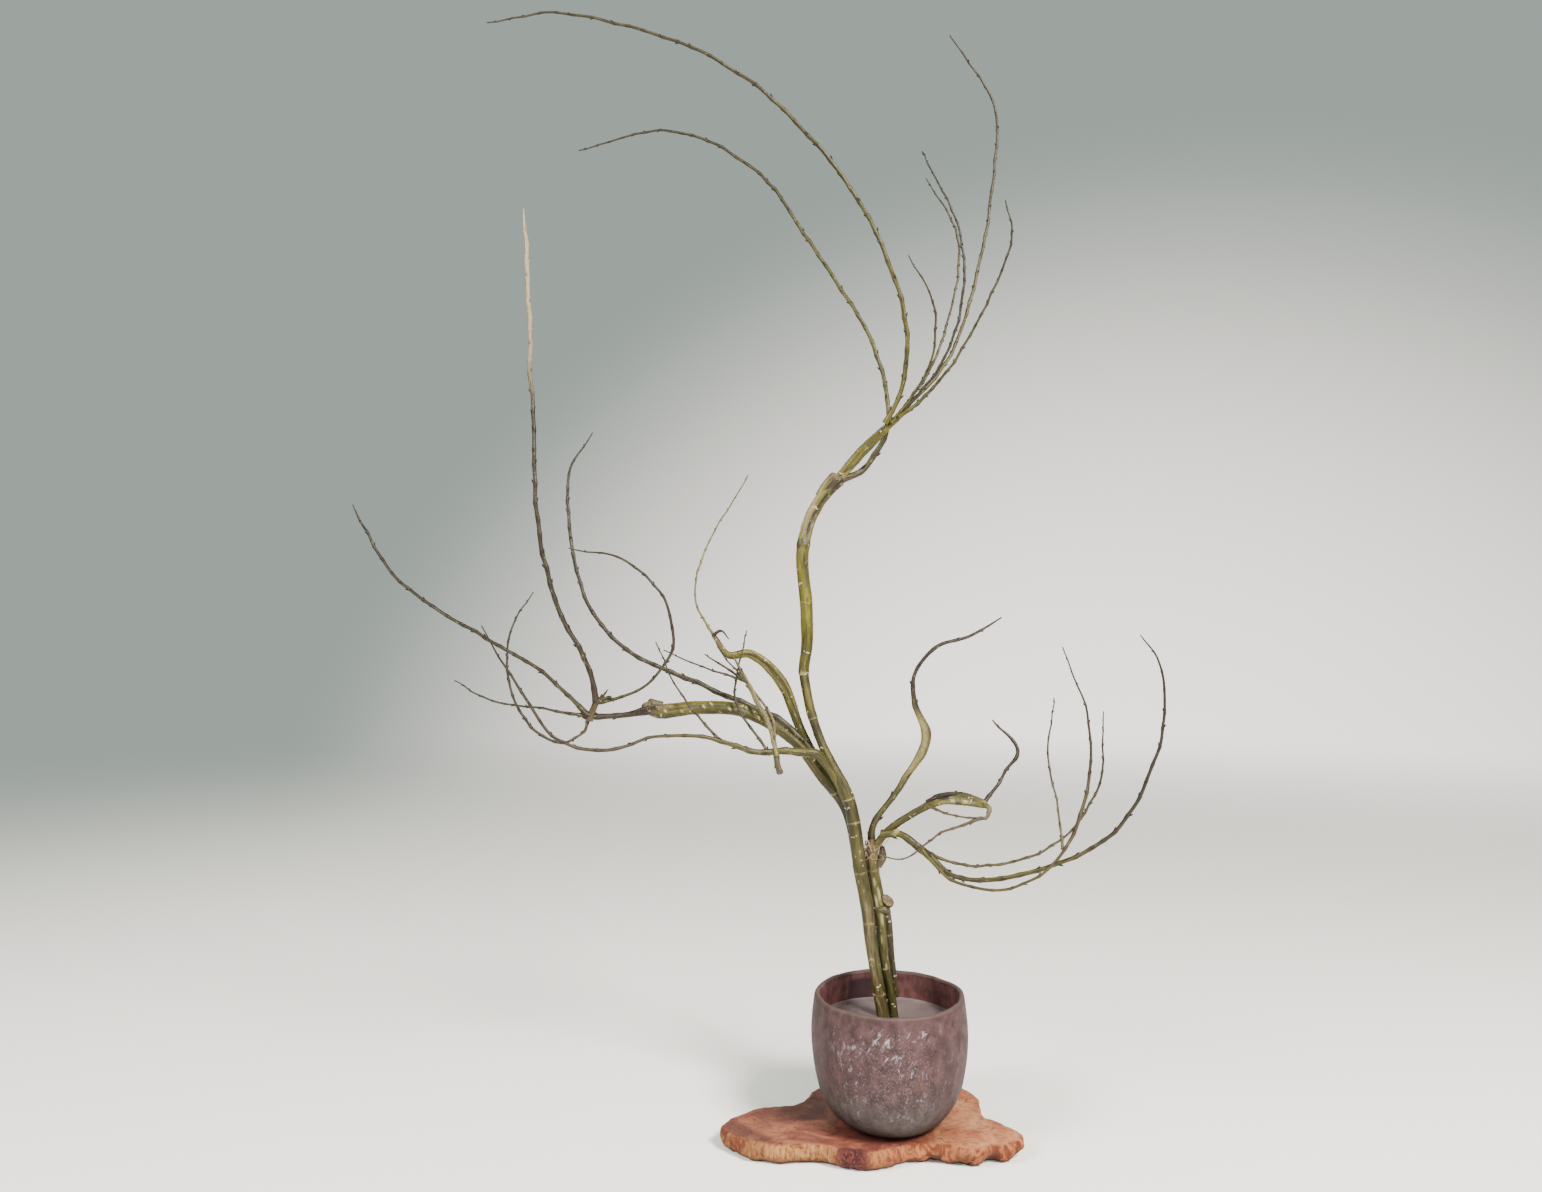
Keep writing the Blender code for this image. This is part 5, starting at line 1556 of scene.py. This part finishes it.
def clay_material(wear):
    mat, finish, shader = new_material("matte_stoneware")
    inside, lip, _, _ = finish.tone()
    place = finish.place()
    split = finish.add("ShaderNodeSeparateXYZ", {"Vector": place})
    x, y, z = split.outputs
    foot = VASE_LOW.z
    _, grit = worn(finish, wear, place, 0.030, 0.0009)
    run = finish.noise(finish.mapped(place, (1.0, 1.0, 0.8)), 80.0, 6.0, 0.68)
    mottle = finish.noise(place, 34.0, 4.0, 0.6)

    upper = finish.graded(run, 0.30, 0.70, paint(64, 39, 40), paint(112, 78, 79))
    lower = finish.graded(run, 0.30, 0.70, paint(64, 51, 50), paint(104, 89, 87))
    sway = finish.math("MULTIPLY_ADD", mottle, 0.08, z)
    body = finish.graded(sway, foot + 0.125, foot + 0.075, upper, lower)
    body = finish.tinted(body, finish.between(mottle, 0.5, 0.68), 0.45, paint(66, 46, 44))

    # A dark line round the foot.
    near_foot = finish.between(z, foot + 0.034, foot + 0.006)
    body = finish.tinted(body, near_foot, 0.85, paint(48, 34, 30))

    # Whitish flecks: upright ones in a belt, slanting ones below the lip.
    fine = finish.noise(finish.mapped(place, (1.0, 1.0, 0.55)), 165.0, 6.0, 0.74)
    dust = finish.noise(place, 420.0, 3.0, 0.7)
    flock = finish.noise(place, 24.0, 5.0, 0.65)
    aside = finish.math("ABSOLUTE", finish.plus(x, 0.008))
    facing = finish.between(aside, 0.082, 0.015)
    belt = finish.times(finish.between(z, foot + 0.010, foot + 0.085),
                        finish.between(z, foot + 0.158, foot + 0.115))
    fleck = finish.times(finish.between(fine, 0.55, 0.64), finish.between(flock, 0.45, 0.60))
    haze = finish.times(finish.between(dust, 0.50, 0.66), 0.20)
    fleck = finish.times(finish.math("MAXIMUM", fleck, haze), belt)
    leaning_map = finish.mapped(place, turn=(0.0, math.radians(50), 0.0))
    slant = finish.noise(finish.mapped(leaning_map, (0.22, 1.0, 1.0)), 190.0, 6.0, 0.72)
    collar = finish.times(finish.between(z, foot + 0.100, foot + 0.118),
                          finish.between(z, foot + 0.154, foot + 0.142))
    slant = finish.times(finish.between(slant, 0.55, 0.64),
                         finish.times(collar, finish.between(flock, 0.45, 0.59)))
    fleck = finish.math("MAXIMUM", fleck, slant)
    fleck = finish.times(fleck, finish.plus(finish.times(facing, 0.85), 0.15))
    outer = finish.math("SUBTRACT", 1.0, inside)
    fleck = finish.times(fleck, outer)
    body = finish.tinted(body, fleck, 0.82, paint(238, 224, 236))

    lip_colour = finish.mix(grit, paint(96, 76, 68), paint(142, 120, 110))
    body = finish.tinted(body, lip, 0.6, lip_colour)

    # Inside: red-brown, with one squarish dark patch at the back.
    well = finish.graded(run, 0.35, 0.65, paint(104, 66, 66), paint(146, 98, 96))
    patch_x = finish.times(finish.between(x, -0.050, -0.043), finish.between(x, -0.008, -0.016))
    patch = finish.times(patch_x, finish.between(y, 0.04, 0.06))
    patch = finish.times(patch, finish.between(z, foot + 0.156, foot + 0.150))
    well = finish.tinted(well, patch, 0.85, paint(60, 44, 54))
    inner = finish.times(inside, finish.between(z, foot + 0.163, foot + 0.155))
    body = finish.mix(inner, body, well)
    finish.give(shader.inputs["Base Color"], body)

    rough = finish.math("MULTIPLY_ADD", grit, 0.3, 0.46)
    finish.give(shader.inputs["Roughness"],
                finish.math("SUBTRACT", rough, finish.times(inner, 0.22)))
    shader.inputs["Specular IOR Level"].default_value = 0.25
    height = finish.plus(finish.times(grit, 0.6), run)
    height = finish.plus(height, finish.times(fleck, 0.5))
    finish.give(shader.inputs["Normal"], finish.bump(height, 0.5, 0.0007))
    return mat


def burl_material(wear):
    mat, finish, shader = new_material("burl_wood")
    side, eye, hollow, ribbed = finish.tone()
    place = finish.place()
    split = finish.add("ShaderNodeSeparateXYZ", {"Vector": place})
    x, _, z = split.outputs
    blotch, grit = worn(finish, wear, place, 0.045, 0.0009)
    swirl = finish.noise(place, 15.0, 6.0, 0.62, 2.0)
    figure = finish.noise(finish.mapped(place, (1.0, 1.0, 0.5)), 62.0, 5.0, 0.62, 1.6)
    stain = finish.noise(place, 13.0, 3.0, 0.5, 1.0)

    red = finish.graded(swirl, 0.35, 0.65, paint(144, 72, 60), paint(210, 130, 94))
    orange = finish.graded(swirl, 0.35, 0.65, paint(220, 118, 74), paint(255, 184, 128))
    leaning = finish.math("MULTIPLY_ADD", blotch, 0.05, x)
    top = finish.graded(leaning, 0.03, 0.11, red, orange)
    knots = finish.add("ShaderNodeTexVoronoi",
                       {"Vector": finish.mapped(place, (1, 1, 0.4)), "Scale": 30.0})
    knot = finish.between(knots.outputs["Distance"], 0.34, 0.10)
    knot = finish.times(knot, finish.between(finish.noise(place, 21.0), 0.50, 0.62))
    top = finish.tinted(top, knot, 0.7, paint(112, 58, 40))
    line = finish.between(figure, 0.54, 0.68)
    top = finish.tinted(top, line, 0.7, paint(118, 54, 40))
    fleck = finish.between(finish.noise(finish.mapped(place, (0.5, 1.0, 1.0)), 260.0, 4.0),
                           0.56, 0.66)
    top = finish.tinted(top, fleck, 0.4, paint(96, 44, 32))
    deep = finish.times(finish.between(stain, 0.42, 0.70), finish.between(leaning, 0.12, 0.0))
    top = finish.tinted(top, deep, 0.75, paint(76, 36, 38))
    # Painted shadow: the top darker under and round the vase, fading out a little past its widest
    # part.
    middle = finish.add("ShaderNodeVectorMath", {0: finish.mapped(place, (1.0, 1.0, 0.0))},
                        operation="LENGTH").outputs["Value"]
    ring = finish.math("MULTIPLY_ADD", swirl, 0.05, middle)
    top = finish.tinted(top, finish.between(ring, 0.125, 0.078), 0.7, paint(104, 44, 40))

    # The natural edge: honey with upright ribs at the left, redder to the right.
    ribs = finish.noise(finish.mapped(place, (1.0, 1.0, 0.28)), 260.0, 5.0, 0.66, 0.4)
    honey = finish.graded(ribs, 0.30, 0.66, paint(146, 84, 42), paint(232, 172, 110))
    honey = finish.graded(figure, 0.48, 0.62, honey, paint(136, 72, 42))
    plain = finish.graded(figure, 0.40, 0.60, paint(136, 66, 40), paint(236, 152, 100))
    edge = finish.mix(ribbed, plain, honey)
    edge = finish.tinted(edge, blotch, 0.40, paint(140, 76, 52))
    # Painted shade: the edge darker over its lowest 10 mm, where it is undercut.
    edge = finish.graded(z, 0.010, 0.0, edge, paint(92, 52, 38))
    colour = finish.mix(side, top, edge)

    # The burl's eye, and painted shade in the hollow that is eaten away at the right.
    swirl_eye = finish.noise(finish.mapped(place, (1.0, 1.0, 0.7)), 130.0, 4.0, 0.6, 3.0)
    eye_colour = finish.graded(swirl_eye, 0.4, 0.6, paint(70, 34, 38), paint(132, 70, 60))
    eye_share = finish.between(finish.plus(eye, finish.times(swirl_eye, 0.8)), 0.90, 1.25)
    colour = finish.mix(eye_share, colour, eye_colour)
    # Painted shade in the hollows under the front edge.
    colour = finish.tinted(colour, hollow, 0.75, paint(72, 46, 38))
    finish.give(shader.inputs["Base Color"], colour)

    rough = finish.math("MULTIPLY_ADD", side, 0.25, finish.math("MULTIPLY_ADD", grit, 0.2, 0.5))
    finish.give(shader.inputs["Roughness"], finish.plus(rough, 0.22))
    shader.inputs["Specular IOR Level"].default_value = 0.25
    shader.inputs["Coat Roughness"].default_value = 0.15
    finish.give(shader.inputs["Coat Weight"],
                finish.times(finish.math("SUBTRACT", 1.0, side), 0.4))
    height = finish.plus(finish.times(figure, 0.5), finish.times(ribs, side, 1.4))
    finish.give(shader.inputs["Normal"], finish.bump(height, 0.45, 0.0009))
    return mat


def water_material():
    mat, finish, shader = new_material("still_water")
    place = finish.place()
    murk = finish.noise(place, 30.0, 3.0)
    finish.give(shader.inputs["Base Color"],
                finish.graded(murk, 0.35, 0.65, paint(146, 130, 130), paint(156, 140, 140)))
    shader.inputs["Roughness"].default_value = 0.06
    shader.inputs["IOR"].default_value = 1.333
    ripple = finish.noise(finish.mapped(place, (1.0, 1.0, 0.2)), 42.0, 2.0)
    finish.give(shader.inputs["Normal"], finish.bump(ripple, 0.06, 0.001))
    return mat


def lead_material(wear):
    mat, finish, shader = new_material("dull_lead_and_brass")
    place = finish.place()
    blotch, grit = worn(finish, wear, place, 0.008, 0.0006)
    split = finish.add("ShaderNodeSeparateXYZ", {"Vector": place})
    pins = finish.between(split.outputs[2], KENZAN_LOW.z + DISC_THICKNESS + 0.0001,
                          KENZAN_LOW.z + DISC_THICKNESS + 0.0004)
    lead = finish.mix(blotch, paint(92, 94, 98), paint(128, 130, 132))
    brass = finish.mix(blotch, paint(150, 122, 62), paint(188, 158, 88))
    finish.give(shader.inputs["Base Color"], finish.mix(pins, lead, brass))
    shader.inputs["Metallic"].default_value = 0.9
    rough = finish.math("MULTIPLY_ADD", grit, 0.3, 0.3)
    finish.give(shader.inputs["Roughness"], rough)
    finish.give(shader.inputs["Normal"], finish.bump(grit, 0.3, 0.0003))
    return mat


# ---------------------------------------------------------- floor, light, camera

FLOOR_RADIUS = 7.0
FLOOR_FADE = (6.5, 1.2)           # from where it is gone in to where it is whole
FLOOR_DROP = 0.0002               # below the board


def floor():
    """A pale round floor whose edge fades into the surroundings."""
    bm = bmesh.new()
    bmesh.ops.create_circle(bm, cap_ends=True, segments=96, radius=FLOOR_RADIUS)
    bmesh.ops.translate(bm, verts=bm.verts, vec=(0, 0, -FLOOR_DROP))
    mesh = bpy.data.meshes.new("floor")
    bm.to_mesh(mesh)
    bm.free()
    obj = in_scene("floor", mesh)
    mat, finish, shader = new_material("pale_floor")
    place = finish.place()
    soft = finish.noise(place, 3.0, 2.0)
    finish.give(shader.inputs["Base Color"],
                finish.mix(soft, (0.86, 0.835, 0.81, 1), (0.89, 0.865, 0.84, 1)))
    shader.inputs["Roughness"].default_value = 0.85
    gone = finish.add("ShaderNodeVectorMath", {0: place}, operation="LENGTH").outputs["Value"]
    finish.give(shader.inputs["Alpha"], finish.between(gone, *FLOOR_FADE))
    mesh.materials.append(mat)


def area_light(name, place, aim, size, power, colour):
    light = bpy.data.lights.new(name, "AREA")
    light.shape = "DISK"
    light.size = size
    light.energy = power
    light.color = colour
    obj = in_scene(name, light)
    obj.location = place
    obj.rotation_euler = (Vector(aim) - Vector(place)).to_track_quat("-Z", "Y").to_euler()


GLOW = (0.29, 0.91, -0.30)        # where the backdrop is brightest
LIGHTS = (                        # name, place, aim, size, power and colour
    ("key", (1.5, -2.0, 2.6), (0.0, 0.0, 0.4), 1.0, 380.0, (1.0, 0.93, 0.86)),
    ("side", (-2.2, -1.4, 2.2), (-0.1, 0.0, 0.7), 1.0, 130.0, (1.0, 0.98, 0.94)),
    ("front", (0.2, -2.6, 0.9), (0.0, 0.0, 0.2), 1.2, 30.0, (1.0, 0.95, 0.9)),
)


def light_the_scene():
    world = bpy.data.worlds.new("studio")
    bpy.context.scene.world = world
    world.use_nodes = True
    background = world.node_tree.nodes["Background"]
    finish = Finish(world.node_tree)
    direction = finish.add("ShaderNodeTexCoord").outputs["Generated"]
    toward = finish.add("ShaderNodeVectorMath", {0: direction, 1: GLOW},
                        operation="DOT_PRODUCT")
    finish.give(background.inputs["Color"],
                finish.graded(toward.outputs["Value"], 0.72, 1.03, (0.150, 0.176, 0.160, 1.0),
                              (1.0, 0.92, 0.86, 1.0)))
    background.inputs["Strength"].default_value = 2.5
    for light in LIGHTS:
        area_light(*light)


def camera():
    data = bpy.data.cameras.new("camera")
    data.lens = 24.05
    data.sensor_width = 36.0
    data.clip_start = 0.01
    obj = in_scene("camera", data)
    obj.location = (-0.154, -1.368, 0.646)
    obj.rotation_euler = (math.radians(92.56), 0.0, 0.0)
    bpy.context.scene.camera = obj


# --------------------------------------------------------------------- assembly

camera()
light_the_scene()
floor()

wear = wear_group()
bark = bark_material(wear)
stems = [shoots[0] for shoots in (MAIN_BRANCH, LEFT_BRANCH, RIGHT_BRANCH)]
board(burl_material(wear))
vase(clay_material(wear))
water(stems, water_material())
pin_holder(stems, lead_material(wear))
cutting("main_branch", MAIN_BRANCH, bark, seed=3)
cutting("left_branch", LEFT_BRANCH, bark, seed=5)
cutting("right_branch", RIGHT_BRANCH, bark, seed=8)
